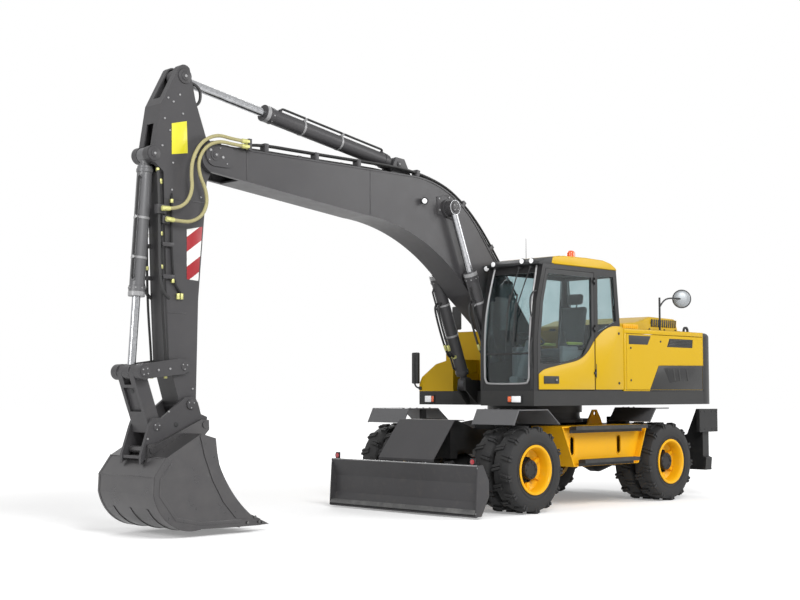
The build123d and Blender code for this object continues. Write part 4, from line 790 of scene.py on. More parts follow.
class EXCAVATOR_OT_tyres(bpy.types.Operator):
    """Mould the twin tyres with their traction lugs"""

    bl_idname = "excavator.tyres"
    bl_label = "Tyres"

    def execute(self, context):
        for name, x, hand in WHEELS:
            bm = bmesh.new()
            for middle in TYRE_MIDDLES:
                centre = Vector((x, hand * middle, AXLE_HEIGHT))
                add_turned(bm, TYRE_PROFILE, centre, (0, 1, 0), sides=72)
                for ring in (0.385, 0.335):
                    add_turned(bm, [(ring, 0.1335), (ring + 0.006, 0.1345), (ring + 0.012, 0.1335),
                                    (ring + 0.006, 0.131)],
                               centre, (0, hand, 0), sides=72)
                for index in range(LUGS):
                    for side, shift in ((hand, 0.5), (-hand, 0.0)):
                        add_lug(bm, centre, math.tau * (index + shift) / LUGS, side)
            piece = make_piece("tyre_pair_" + name, bm, ["Tread rubber"], "wheel_" + name)
            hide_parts("tyres_" + name)
        return {"FINISHED"}


class EXCAVATOR_OT_wheels(bpy.types.Operator):
    """Turn the dished rims, hubs and wheel nuts"""

    bl_idname = "excavator.wheels"
    bl_label = "Rims and hubs"

    def execute(self, context):
        detail = settings()[2]
        for name, x, hand in WHEELS:
            axle = Vector((x, 0.0, AXLE_HEIGHT))
            out = Vector((0.0, hand, 0.0))
            bm = bmesh.new()
            add_turned(bm, RIM_PROFILE, axle, out, sides=64)
            for index in range(RIM_TABS):
                turn = Matrix.Rotation(math.tau * index / RIM_TABS, 4, "Y")
                part = bmesh.new()
                middle = Matrix.Translation((0.0, 0.0, 0.196))
                size = Matrix.Diagonal((0.050, 0.050, 0.088, 1.0))
                bmesh.ops.create_cube(part, size=1.0,
                                      matrix=Matrix.Translation(axle + out * 1.115) @ turn @ middle @ size)
                soften(part, 0.007)
                join(bm, part, 0)
            rim = make_piece("rim_dish_" + name, bm, ["Chassis yellow"], "wheel_" + name)
            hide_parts("rim_" + name)
            bm = bmesh.new()
            add_turned(bm, HUB_PROFILE, axle, out, sides=48)
            for index in range(WHEEL_NUTS):
                angle = math.tau * (index + 0.5) / WHEEL_NUTS
                seat = axle + Vector((math.cos(angle) * 0.139, 0.0, math.sin(angle) * 0.139))
                add_rod(bm, seat + out * 1.098, seat + out * 1.112, detail.bolt_size * 0.9, sides=12)
                add_rod(bm, seat + out * 1.112, seat + out * 1.126, detail.bolt_size * 0.75, sides=6,
                        bevel=0.001)
                add_rod(bm, seat + out * 1.126, seat + out * 1.138, detail.bolt_size * 0.35, sides=8)
            for index in range(HUB_BOLTS):
                angle = math.tau * index / HUB_BOLTS
                seat = axle + Vector((math.cos(angle) * 0.091, 0.0, math.sin(angle) * 0.091))
                add_rod(bm, seat + out * 1.190, seat + out * 1.200, detail.bolt_size * 0.6, sides=6,
                        bevel=0.001)
            make_piece("hub_" + name, bm, ["Frame black"], "wheel_" + name)
        return {"FINISHED"}


# House

def smooth_points(points, steps=6):
    """Points along a smooth open line through control points, in the side view."""
    made = []
    for index in range(len(points) - 1):
        before = points[max(index - 1, 0)]
        start, end = points[index], points[index + 1]
        after = points[min(index + 2, len(points) - 1)]
        for step in range(steps):
            t = step / steps
            made.append(tuple(0.5 * (2 * s + (e - b) * t + (2 * b - 5 * s + 4 * e - a) * t * t
                                     + (3 * s - b - 3 * e + a) * t ** 3)
                              for b, s, e, a in zip(before, start, end, after)))
    made.append(points[-1])
    return made


def side_ring(outline, y):
    """The points of an outline drawn in the side view, ordered to face away from the middle."""
    ring = [(x, y, z) for x, z in outline]
    area = sum(a[0] * b[1] - b[0] * a[1] for a, b in zip(outline, outline[1:] + outline[:1]))
    if (area > 0) == (y > 0):
        ring.reverse()
    return ring


def side_plate(bm, outline, y, thickness, bevel=0.003, slot=0, segments=2):
    """A plate in the side view whose outer face lies at y."""
    add_plate(bm, side_ring(outline, y), thickness, bevel, slot, segments)


SILL = 1.474
SWEEP = [(1.425, 1.662), (1.31, 1.722), (1.01, 1.778), (0.66, 1.842), (0.47, 1.94), (0.31, 2.10),
         (0.13, 2.225), (-0.05, 2.285),
         (-0.22, 2.292)]


class EXCAVATOR_OT_covers(bpy.types.Operator):
    """Shape the hood, the side skins and the trim of the body"""

    bl_idname = "excavator.covers"
    bl_label = "Body covers"

    def execute(self, context):
        make_hood()
        make_service_doors()
        make_body_trim()
        return {"FINISHED"}


def make_hood():
    bm = bmesh.new()
    ridge = [(-0.762, 2.277), (-0.775, 2.372), (-1.16, 2.398), (-1.49, 2.486), (-2.10, 2.474),
             (-2.138, 2.277)]
    part = plate_shape(side_ring(ridge, 0.878), 1.756)
    for vert in part.verts:
        if vert.co.z > 2.3:
            vert.co.y *= 0.965
    soften(part, 0.032, 4)
    join(bm, part, 0)
    louvres = settings()[2].louvre_count
    for index in range(louvres):
        x = -1.50 - 0.56 * index / (louvres - 1)
        for side in (1, -1):
            # each slot is a dark block in Trim plastic, painted as the shade inside the louvre's opening,
            # beside a yellow slat
            add_block(bm, (x - 0.014, side * 0.861 - 0.008, 2.345), (x + 0.014, side * 0.861 + 0.008, 2.452),
                      bevel=0.002,
                      turn=turned_y(-18) @ turned_x(side * 8), slot=1)
            add_block(bm, (x - 0.026, side * 0.864 - 0.008, 2.345), (x - 0.016, side * 0.864 + 0.008, 2.456),
                      bevel=0.003,
                      turn=turned_y(-18) @ turned_x(side * 8))
    for index in range(9):
        x = -1.62 - 0.05 * index
        for y in (-0.42, 0.42):
            add_block(bm, (x - 0.012, y - 0.26, 2.468), (x + 0.012, y + 0.26, 2.485), bevel=0.003, slot=1)
    for y in (-0.30, 0.30):
        add_block(bm, (-0.800, y - 0.05, 2.300), (-0.752, y + 0.05, 2.335), bevel=0.006, slot=1)
    for x in (-1.42, -1.78, -2.05):
        for side in (1, -1):
            add_rod(bm, (x, side * 0.868, 2.312), (x, side * 0.884, 2.312), 0.010, sides=12, slot=1)
    piece = make_piece("hood_cover", bm, ["Body yellow", "Trim plastic"], "hood")
    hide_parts("hood")
    bm = bmesh.new()
    for side in (1, -1):
        for index in range(7):
            x = -0.85 - 0.045 * index
            add_block(bm, (x - 0.015, side * 0.872 - 0.01, 2.296), (x + 0.015, side * 0.872 + 0.01, 2.352),
                      bevel=0.006)
        add_block(bm, (-1.16, side * 0.868 - 0.01, 2.286), (-0.81, side * 0.868 + 0.01, 2.362), bevel=0.008)
    make_piece("hood_side_ribs", bm, ["Chassis yellow"], "hood")


def make_service_doors():
    for name, side in (("left", 1), ("right", -1)):
        bm = bmesh.new()
        face = side * 1.2565
        # two halves of the upper skin, which leave the vent open between them
        rear = [(-2.132, 1.816), (-1.600, 1.810), (-1.600, 2.050), (-1.885, 2.050), (-1.905, 2.165),
                (-1.600, 2.165),
                (-1.600, 2.200), (-2.132, 2.200)]
        ahead = [(-1.600, 1.810), (-1.072, 1.803), (-0.866, 1.480), (-0.350, 1.480), (-0.350, 2.200),
                 (-1.600, 2.200),
                 (-1.600, 2.165), (-1.330, 2.165), (-1.270, 2.050), (-1.600, 2.050)]
        lower = [(-2.132, 1.480), (-0.874, 1.480), (-1.078, 1.797), (-2.132, 1.810)]
        side_plate(bm, rear, face, 0.008, 0.0)
        side_plate(bm, ahead, face, 0.008, 0.0)
        side_plate(bm, lower, face, 0.008, 0.003, slot=1)
        badge = [(-0.891, 2.185), (-0.400, 2.185), (-0.400, 2.070), (-0.820, 2.070)]
        side_plate(bm, badge, face + side * 0.003, 0.006, 0.002, slot=2)
        # a dark plate behind the vent's slats, painted as the shade inside the open vent
        vent = [(-1.885, 2.050), (-1.270, 2.050), (-1.330, 2.165), (-1.905, 2.165)]
        side_plate(bm, vent, side * 1.2510, 0.006, 0.0, slot=2)
        for index in range(5):
            z = 2.060 + 0.020 * index
            add_block(bm, (-1.893, side * 1.253 - 0.004, z),
                      (-1.297 - 0.6 * (z - 2.05), side * 1.253 + 0.004, z + 0.011),
                      bevel=0.002, turn=turned_x(side * 18), slot=1)
        # a black plate on the skin, painted as the shade of a recess, with three grey bars across it
        recess = [(-1.96, 1.62), (-1.33, 1.57), (-1.20, 1.765), (-1.96, 1.775)]
        side_plate(bm, recess, face + side * 0.002, 0.006, 0.002, slot=3)
        for x in (-1.43, -1.56, -1.75):
            add_block(bm, (x - 0.018, face - 0.005, 1.60), (x + 0.018, face + 0.005, 1.765), bevel=0.002,
                      turn=turned_y(12),
                      slot=1)
        for x, z in ((-0.44, 1.60), (-0.44, 2.02), (-1.12, 2.12), (-1.28, 1.74)):
            add_rod(bm, (x, face, z), (x, face + side * 0.006, z), 0.014, sides=16, slot=1)
        make_piece("service_door_skin_" + name, bm,
                   ["Body yellow", "Frame grey", "Trim plastic", "Frame black"],
                   "service_door_" + name)


def make_body_trim():
    bm = bmesh.new()
    for side in (1, -1):
        add_block(bm, (-2.155, side * 1.252 - 0.003, 2.212), (-0.305, side * 1.252 + 0.003, 2.266),
                  bevel=0.003)
        add_block(bm, (-0.345, side * 1.252 - 0.003, 1.478), (-0.304, side * 1.252 + 0.003, 2.212),
                  bevel=0.003)
        add_block(bm, (-2.1605, side * 1.251 - 0.003, 1.459), (-2.1445, side * 1.251 + 0.003, 1.812),
                  bevel=0.001, slot=1)
        add_block(bm, (-2.1605, side * 1.251 - 0.003, 1.459), (-0.874, side * 1.251 + 0.003, 1.4745),
                  bevel=0.001, slot=1)
    make_piece("body_rim", bm, ["Body yellow", "Frame grey"], "house")
    bm = bmesh.new()
    for x, y, wide, deep in ((-0.52, 0.0, 0.36, 1.0), (-1.2, 1.06, 1.5, 0.24), (-1.2, -1.06, 1.5, 0.24),
                             (0.05, -0.84, 0.55, 0.62)):
        for index in range(int(wide / 0.06)):
            start_x = x - wide / 2 + 0.06 * index
            add_block(bm, (start_x, y - deep / 2, 2.272), (start_x + 0.035, y + deep / 2, 2.279), bevel=0.002)
    for x, y in ((-2.35, 0.85), (-2.35, -0.85)):
        add_turned(bm, [(0.035, -0.012), (0.062, -0.012), (0.062, 0.012), (0.035, 0.012)], (x, y, 2.315),
                   (0, 1, 0), sides=32)
        add_block(bm, (x - 0.05, y - 0.012, 2.266), (x + 0.05, y + 0.012, 2.275), bevel=0.002)
    make_piece("top_treads", bm, ["Step grating"], "house")


# Cab

class EXCAVATOR_OT_cab(bpy.types.Operator):
    """Dress the cab with its skins, frame line, visor, wipers, lamps and handles"""

    bl_idname = "excavator.cab"
    bl_label = "Cab dress"

    def execute(self, context):
        make_cab_skins()
        make_cab_frame()
        make_roof()
        make_cab_lamps()
        make_mirrors()
        return {"FINISHED"}


def make_cab_skins():
    sweep_line = smooth_points(SWEEP)
    door_part = [point for point in sweep_line if point[0] > 0.325]
    bm = bmesh.new()
    outline = [(1.425, SILL + 0.004)] + door_part + [(0.325, 2.088), (0.325, SILL + 0.004)]
    side_plate(bm, outline, 1.250, 0.012, 0.004)
    add_block(bm, (1.055, 1.246, 1.548), (1.340, 1.262, 1.640), bevel=0.006, slot=1)
    add_rod(bm, (1.110, 1.258, 1.594), (1.110, 1.266, 1.594), 0.034, sides=24, bevel=0.002, slot=1)
    add_rod(bm, (1.110, 1.264, 1.594), (1.110, 1.269, 1.594), 0.013, sides=20, slot=2)
    make_piece("cab_door_skin", bm, ["Body yellow", "Trim plastic", "Rim trim grey"], "cab_door")
    bm = bmesh.new()
    rear_part = [point for point in sweep_line if point[0] < 0.300]
    outline = [(0.300, SILL + 0.004), (0.300, 2.112)] + rear_part + [(-0.298, 2.268), (-0.298, SILL + 0.004)]
    side_plate(bm, outline, 1.250, 0.012, 0.004)
    for x, z in ((-0.19, 2.20), (-0.19, 1.56)):
        add_rod(bm, (x, 1.248, z), (x, 1.256, z), 0.017, sides=16, slot=1)
    add_block(bm, (0.285, 1.247, 1.62), (0.294, 1.2535, 1.80), bevel=0.001, slot=1)
    make_piece("cab_side_skin", bm, ["Body yellow", "Trim plastic"], "house")


def make_cab_frame():
    bm = bmesh.new()
    front = 1.517
    # y, x, z round the windscreen, from the lower left corner
    left = [(front, 1.165, 1.62), (front, 1.175, 2.07), (1.462, 1.172, 2.56), (1.335, 1.150, 2.985)]
    right = [(front, 0.462, 1.62), (front, 0.452, 2.07), (1.462, 0.456, 2.56), (1.335, 0.478, 2.985)]
    sill = [left[0], (front, 1.150, 1.570), (front, 1.110, 1.545), (front, 0.518, 1.545),
            (front, 0.478, 1.570), right[0]]
    for edge in (left, right, sill):
        add_hose(bm, edge, 0.013, sides=10)
    make_piece("windscreen_rim", bm, ["Rim trim grey"], "house")
    bm = bmesh.new()
    for y in (0.408, 1.205):
        add_block(bm, (1.490, y - 0.022, 1.470), (1.522, y + 0.022, 2.10), bevel=0.012)
    add_block(bm, (1.485, 0.42, 1.900), (1.5055, 1.20, 1.925), bevel=0.004)
    for y, top in ((0.92, 0.90), (1.10, 1.02)):
        pivot = Vector((1.372, y, 2.965))
        tip = Vector((1.500, top - 0.10, 2.36))
        add_rod(bm, pivot - Vector((0.03, 0, 0)), pivot + Vector((0.03, 0, 0)), 0.018, sides=16)
        add_hose(bm, [pivot + Vector((0.025, 0, 0)), pivot.lerp(tip, 0.5) + Vector((0.03, 0, 0)), tip], 0.007,
                 sides=8)
        add_hose(bm, [tip + Vector((-0.070, 0.0, 0.28)), tip, tip + Vector((0.006, 0.0, -0.30))], 0.009,
                 sides=6)
    for z in (1.75, 2.35):
        add_hose(bm, [(1.516, 1.222, z), (1.560, 1.226, z + 0.02), (1.560, 1.226, z + 0.30),
                      (1.514 if z < 2 else 1.44, 1.222, z + 0.32)], 0.010, sides=8)
    make_piece("wipers_and_rails", bm, ["Trim plastic"], "house")


def make_roof():
    bm = bmesh.new()
    crown = [(-0.198, 3.012), (-0.165, 3.045), (-0.06, 3.096), (0.10, 3.128), (0.45, 3.136), (0.90, 3.130),
             (1.14, 3.105),
             (1.17, 3.012)]
    side_plate(bm, crown, 1.238, 0.848, bevel=0.022, segments=3)
    add_block(bm, (-0.245, 1.10, 2.985), (-0.150, 1.16, 3.030), bevel=0.008)
    visor = [(1.10, 3.012), (1.10, 3.108), (1.22, 3.092), (1.395, 3.030), (1.405, 3.000), (1.30, 2.985)]
    side_plate(bm, visor, 1.236, 0.844, bevel=0.012, slot=1)
    for x in (0.20, 0.62):
        add_block(bm, (x, 0.50, 3.126), (x + 0.25, 1.13, 3.141), bevel=0.007)
    piece = make_piece("cab_roof_cap", bm, ["Body yellow", "Trim plastic"], "house")
    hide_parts("cab_roof")


def make_cab_lamps():
    bm = bmesh.new()
    add_rod(bm, (0.21, 0.80, 3.120), (0.21, 0.80, 3.168), 0.062, sides=28, bevel=0.004, slot=1)
    add_rod(bm, (0.21, 0.80, 3.168), (0.21, 0.80, 3.244), 0.058, sides=28, end_radius=0.054)
    add_ball(bm, (0.21, 0.80, 3.242), 0.054, sides=24, stretch=(1, 1, 0.72))
    make_piece("beacon", bm, ["Amber lens", "Trim plastic"], "house")
    bm = bmesh.new()
    # middle y, half width, bottom, top, mounting face
    for y, half, low, high, face in ((0.945, 0.115, 1.310, 1.410, 1.515),
                                     (-1.050, 0.090, 1.300, 1.410, 0.930)):
        add_block(bm, (face, y - half, low), (face + 0.014, y + half, high), bevel=0.008, slot=1)
        side = -1 if y > 0 else 1
        add_block(bm, (face + 0.008, y - side * half * 0.25 - half * 0.62, low + 0.012),
                  (face + 0.022, y - side * half * 0.25 + half * 0.62, high - 0.012), bevel=0.010)
        add_block(bm, (face + 0.008, y + side * half * 0.68 - half * 0.22, low + 0.016),
                  (face + 0.021, y + side * half * 0.68 + half * 0.22, high - 0.016), bevel=0.006, slot=2)
    # place of each round work lamp
    for x, y, z in ((1.400, 1.115, 3.040), (1.400, 0.965, 3.044), (1.402, 0.505, 3.036)):
        add_rod(bm, (x - 0.045, y, z), (x - 0.002, y, z), 0.036, sides=20, bevel=0.004, slot=1)
        add_rod(bm, (x - 0.004, y, z), (x + 0.006, y, z), 0.031, sides=20, bevel=0.002)
    add_block(bm, (-0.225, 1.02, 3.050), (-0.150, 1.11, 3.105), bevel=0.012, slot=1)
    add_block(bm, (-0.232, 1.03, 3.060), (-0.222, 1.10, 3.096), bevel=0.004)
    units = make_piece("lamp_units", bm, ["Clear lens", "Trim plastic", "Amber lens"], "house")
    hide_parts("lamps")
    bm = bmesh.new()
    add_rod(bm, (0.72, 0.47, 3.120), (0.72, 0.47, 3.150), 0.016, sides=16, bevel=0.002)
    add_rod(bm, (0.72, 0.47, 3.145), (0.72, 0.47, 3.420), 0.004, sides=8, end_radius=0.002)
    make_piece("aerial", bm, ["Trim plastic"], "house")


def make_mirrors():
    bm = bmesh.new()
    # bent stalks, then housings with their glass behind
    add_hose(bm, [(0.945, -1.225, 1.500), (0.985, -1.262, 1.505), (1.000, -1.285, 1.60),
                  (0.990, -1.282, 1.95)],
             0.011, sides=10)
    add_block(bm, (0.930, -1.248, 1.478), (0.948, -1.202, 1.522), bevel=0.004)
    add_block(bm, (0.950, -1.340, 1.560), (0.994, -1.215, 1.985), bevel=0.016)
    add_block(bm, (0.946, -1.330, 1.575), (0.952, -1.226, 1.970), bevel=0.002, slot=1)
    add_hose(bm, [(0.270, -1.160, 2.270), (0.270, -1.160, 2.36), (0.272, -1.166, 2.60)], 0.011, sides=10)
    add_block(bm, (0.252, -1.238, 2.312), (0.294, -1.084, 2.638), bevel=0.016)
    add_block(bm, (0.248, -1.226, 2.328), (0.254, -1.096, 2.622), bevel=0.002, slot=1)
    add_hose(bm, [(-1.400, 1.060, 2.270), (-1.400, 1.060, 2.56), (-1.400, 1.060, 2.735)], 0.014, sides=12)
    add_hose(bm, [(-1.400, 1.060, 2.60), (-1.46, 1.070, 2.69), (-1.60, 1.092, 2.745), (-1.84, 1.118, 2.735)],
             0.011, sides=10)
    add_block(bm, (-1.425, 1.035, 2.270), (-1.375, 1.085, 2.284), bevel=0.003)
    face = Vector((0.80, 0.60, 0.0)).normalized()
    centre = Vector((-1.85, 1.120, 2.735))
    add_turned(bm, [(0.0, -0.022), (0.085, -0.018), (0.122, -0.004), (0.130, 0.006), (0.126, 0.013),
                    (0.117, 0.013),
                    (0.0, 0.013)], centre, face, sides=48)
    add_turned(bm, [(0.0, 0.012), (0.116, 0.012), (0.110, 0.017), (0.06, 0.026), (0.0, 0.029)], centre, face,
               sides=48, slot=1)
    piece = make_piece("mirror_set", bm, ["Trim plastic", "Mirror glass"], "house")
    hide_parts("mirrors")


class EXCAVATOR_OT_cab_inside(bpy.types.Operator):
    """Pad the driver's seat and fit the consoles, levers and steering wheel"""

    bl_idname = "excavator.cab_inside"
    bl_label = "Cab inside"

    def execute(self, context):
        make_seat()
        make_consoles()
        return {"FINISHED"}


def inflate(piece, pressure, cap):
    """Swell a cushion with a short cloth run, no point moving further than the cap."""
    bpy.context.view_layer.objects.active = piece
    rest = [vert.co.copy() for vert in piece.data.vertices]
    cloth = piece.modifiers.new("cloth", "CLOTH")
    cloth.settings.use_pressure = True
    cloth.settings.uniform_pressure_force = pressure
    cloth.settings.effector_weights.gravity = 0.0
    cloth.settings.quality = 5
    scene = bpy.context.scene
    for step in range(1, 21):
        scene.frame_set(step)
    swollen = piece.evaluated_get(bpy.context.evaluated_depsgraph_get())
    moved = [vert.co.copy() for vert in swollen.data.vertices]
    piece.modifiers.remove(cloth)
    scene.frame_set(1)
    for vert, start, end in zip(piece.data.vertices, rest, moved):
        shift = end - start
        if shift.length > cap:
            shift = shift.normalized() * cap
        vert.co = start + shift


def make_pad(name, low, high, lean, corner):
    """One cushion: a rounded block, remeshed, swollen and smoothed."""
    bm = bmesh.new()
    low, high = Vector(low), Vector(high)
    pivot = Vector(((low.x + high.x) / 2, (low.y + high.y) / 2, low.z))
    place = Matrix.Translation((low + high) / 2) @ Matrix.Diagonal((*(high - low), 1.0))
    bmesh.ops.create_cube(bm, size=1.0, matrix=place)
    soften(bm, corner, 4)
    bmesh.ops.rotate(bm, verts=bm.verts, cent=pivot, matrix=Matrix.Rotation(math.radians(lean), 3, "Y"))
    bmesh.ops.translate(bm, verts=bm.verts, vec=(-SLEW_TO_ORIGIN, 0.0, 0.0))
    mesh = bpy.data.meshes.new(name)
    bm.to_mesh(mesh)
    bm.free()
    piece = bpy.data.objects.new(name, mesh)
    bpy.context.scene.collection.objects.link(piece)
    remesh = piece.modifiers.new("remesh", "REMESH")
    remesh.mode = "VOXEL"
    remesh.voxel_size = 0.012
    shaped = bpy.data.meshes.new_from_object(piece.evaluated_get(bpy.context.evaluated_depsgraph_get()))
    piece.modifiers.remove(remesh)
    piece.data = shaped
    bpy.data.meshes.remove(mesh)
    shaped.name = name
    inflate(piece, 4.0, 0.014)
    shaped.materials.append(bpy.data.materials["Seat cloth"])
    shaped.shade_smooth()
    smooth = piece.modifiers.new("smooth", "SUBSURF")
    smooth.levels = smooth.render_levels = 1
    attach(piece, "house")
    return piece


def make_seat():
    # name, low corner, high corner, lean in degrees, corner radius
    cushion = make_pad("seat_cushion", (0.262, 0.590, 1.870), (0.745, 1.042, 1.975), -3.0, 0.034)
    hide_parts("seat")
    make_pad("seat_back", (0.215, 0.615, 1.985), (0.300, 1.015, 2.560), -9.0, 0.034)
    make_pad("seat_head", (0.128, 0.700, 2.575), (0.200, 0.930, 2.712), -9.0, 0.026)
    bm = bmesh.new()
    add_block(bm, (0.320, 0.640, 1.500), (0.690, 0.990, 1.560), bevel=0.010)
    for index in range(5):
        add_block(bm, (0.350, 0.670, 1.572 + 0.052 * index), (0.650, 0.960, 1.612 + 0.052 * index),
                  bevel=0.014)
    add_block(bm, (0.290, 0.610, 1.832), (0.715, 1.020, 1.872), bevel=0.010)
    add_rod(bm, (0.205, 0.760, 2.52), (0.180, 0.760, 2.62), 0.009, sides=10)
    add_rod(bm, (0.205, 0.870, 2.52), (0.180, 0.870, 2.62), 0.009, sides=10)
    make_piece("seat_base", bm, ["Trim plastic"], "house")
    bm = bmesh.new()
    for y in (0.596, 1.034):
        add_block(bm, (0.30, y - 0.022, 2.040), (0.62, y + 0.022, 2.078), bevel=0.016)
    make_piece("seat_arms", bm, ["Seat stripe"], "house")


def make_consoles():
    bm = bmesh.new()
    for y_low, y_high, x_high in ((0.452, 0.543, 0.995), (1.088, 1.148, 0.845)):
        add_block(bm, (0.355, y_low, 1.500), (x_high, y_high, 1.975), bevel=0.020)
        add_block(bm, (x_high - 0.32, y_low - 0.002, 1.955), (x_high, y_high + 0.002, 2.018), bevel=0.018)
    add_hose(bm, [(1.315, 0.815, 1.50), (1.255, 0.815, 1.70), (1.160, 0.815, 1.92), (1.082, 0.815, 2.075)],
             0.040, sides=16)
    add_block(bm, (1.215, 0.745, 1.500), (1.395, 0.885, 1.640), bevel=0.024)
    for y in (0.68, 0.95):
        add_block(bm, (1.180, y - 0.045, 1.565), (1.300, y + 0.045, 1.585), bevel=0.006, turn=turned_y(-28),
                  slot=1)
        add_rod(bm, (1.250, y, 1.500), (1.250, y, 1.570), 0.010, sides=10, slot=1)
    piece = make_piece("console_shells", bm, ["Console plastic", "Trim plastic"], "house")
    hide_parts("consoles")
    bm = bmesh.new()
    for x, y in ((0.90, 0.498), (0.76, 1.118)):
        add_turned(bm, [(0.0, 0.0), (0.036, 0.0), (0.030, 0.020), (0.020, 0.034), (0.012, 0.042),
                        (0.0, 0.042)], (x, y, 2.018),
                   (0, 0, 1), sides=24)
        add_hose(bm, [(x, y, 2.05), (x + 0.004, y, 2.10), (x + 0.018, y, 2.15)], 0.012, sides=12)
        add_ball(bm, (x + 0.022, y, 2.172), 0.024, sides=16, stretch=(0.9, 0.9, 1.5))
    hub = Vector((1.066, 0.815, 2.106))
    axis = Vector((-0.220, 0.0, 0.530)).normalized()
    ring = [(0.170 + 0.014 * math.cos(math.tau * i / 10),
             0.014 * math.sin(math.tau * i / 10)) for i in range(10)]
    add_turned(bm, ring, hub, axis, sides=48)
    add_turned(bm, [(0.0, -0.030), (0.042, -0.026), (0.046, 0.006), (0.030, 0.014), (0.0, 0.016)], hub, axis,
               sides=24)
    across = Vector((0.0, 1.0, 0.0))
    for direction in (across, -across, axis.cross(across)):
        add_rod(bm, hub + direction * 0.03, hub + direction * 0.166, 0.011, sides=10)
    add_block(bm, (1.17, 0.455, 2.02), (1.20, 0.610, 2.22), bevel=0.010, turn=turned_y(12))
    add_rod(bm, (1.18, 0.50, 1.80), (1.185, 0.52, 2.06), 0.012, sides=10)
    make_piece("levers_and_wheel", bm, ["Trim plastic"], "house")


# Front

def round_points(centre, radius, count, first=0.0):
    """Points round a pin in the side view."""
    return [(centre[0] + radius * math.cos(first + math.tau * index / count),
             centre[1] + radius * math.sin(first + math.tau * index / count)) for index in range(count)]


def pin_caps(bm, pins):
    """End plates of pins on both sides, each with a ring of bolts."""
    # centre (x, z), y of the seat, radius, thickness, bolts
    for centre, seat, radius, thick, bolts in pins:
        for side in (1, -1):
            add_rod(bm, (centre[0], side * (seat - 0.004), centre[1]),
                    (centre[0], side * (seat + thick), centre[1]), radius,
                    sides=32, bevel=0.003)
            for x, z in round_points(centre, radius * 0.66, bolts, 0.6) if bolts else [centre]:
                size = 0.008 if bolts else radius * 0.36
                add_rod(bm, (x, side * (seat + thick - 0.002), z), (x, side * (seat + thick + 0.007), z),
                        size, sides=6,
                        bevel=0.0015, slot=1)


def studs(bm, places, seat, radius=0.010, slot=1):
    """Grease fittings and bolt heads on both sides."""
    for x, z in places:
        for side in (1, -1):
            add_rod(bm, (x, side * (seat - 0.003), z), (x, side * (seat + 0.009), z), radius, sides=10,
                    bevel=0.002, slot=slot)


def arc_points(first, middle, last, count=12):
    """Points along the circle through three points in the side view."""
    (ax, az), (bx, bz), (cx, cz) = first, middle, last
    d = 2 * (ax * (bz - cz) + bx * (cz - az) + cx * (az - bz))
    a, b, c = ax * ax + az * az, bx * bx + bz * bz, cx * cx + cz * cz
    x = (a * (bz - cz) + b * (cz - az) + c * (az - bz)) / d
    z = (a * (cx - bx) + b * (ax - cx) + c * (bx - ax)) / d
    start, via, end = (math.atan2(p[1] - z, p[0] - x) for p in (first, middle, last))
    via, end = start + (via - start) % math.tau, start + (end - start) % math.tau
    if via > end:
        end -= math.tau
    radius = math.hypot(ax - x, az - z)
    return [(x + radius * math.cos(start + (end - start) * i / count),
             z + radius * math.sin(start + (end - start) * i / count))
            for i in range(count + 1)]


def band_along(bm, line, y, width, thick, slot=0):
    """A strip of metal on an edge drawn in the side view, to the left of its direction."""
    outer = []
    for index, point in enumerate(line):
        before, after = line[max(index - 1, 0)], line[min(index + 1, len(line) - 1)]
        run = Vector((after[0] - before[0], after[1] - before[1])).normalized()
        outer.append((point[0] - run.y * thick, point[1] + run.x * thick))
    side_plate(bm, list(line) + outer[::-1], y + width / 2 if y >= 0 else y - width / 2, width, 0.0, slot)


class EXCAVATOR_OT_front(bpy.types.Operator):
    """Dress the boom, arm, linkage, bucket and cylinders"""

    bl_idname = "excavator.front"
    bl_label = "Front dress"

    def execute(self, context):
        dress_boom()
        dress_arm()
        dress_linkage()
        dress_bucket()
        dress_barrels()
        dress_rod_eyes()
        dress_boom_hoses()
        return {"FINISHED"}


BOOM_LINE = ((5.045, 4.100), (4.900, 4.140), (4.230, 4.136), (3.300, 4.142), (2.640, 4.142), (2.120, 4.062),
             (1.730, 3.918),
             (1.290, 3.580), (0.860, 3.068), (0.560, 2.705))
# x, z and lean of each clamp on the boom's top
BOOM_CLAMPS = ((4.780, 4.108, 0), (4.050, 4.104, 0), (3.400, 4.106, 0), (2.420, 4.096, -10),
               (1.600, 3.800, -35), (1.080, 3.290, -50),
               (0.700, 2.834, -50))


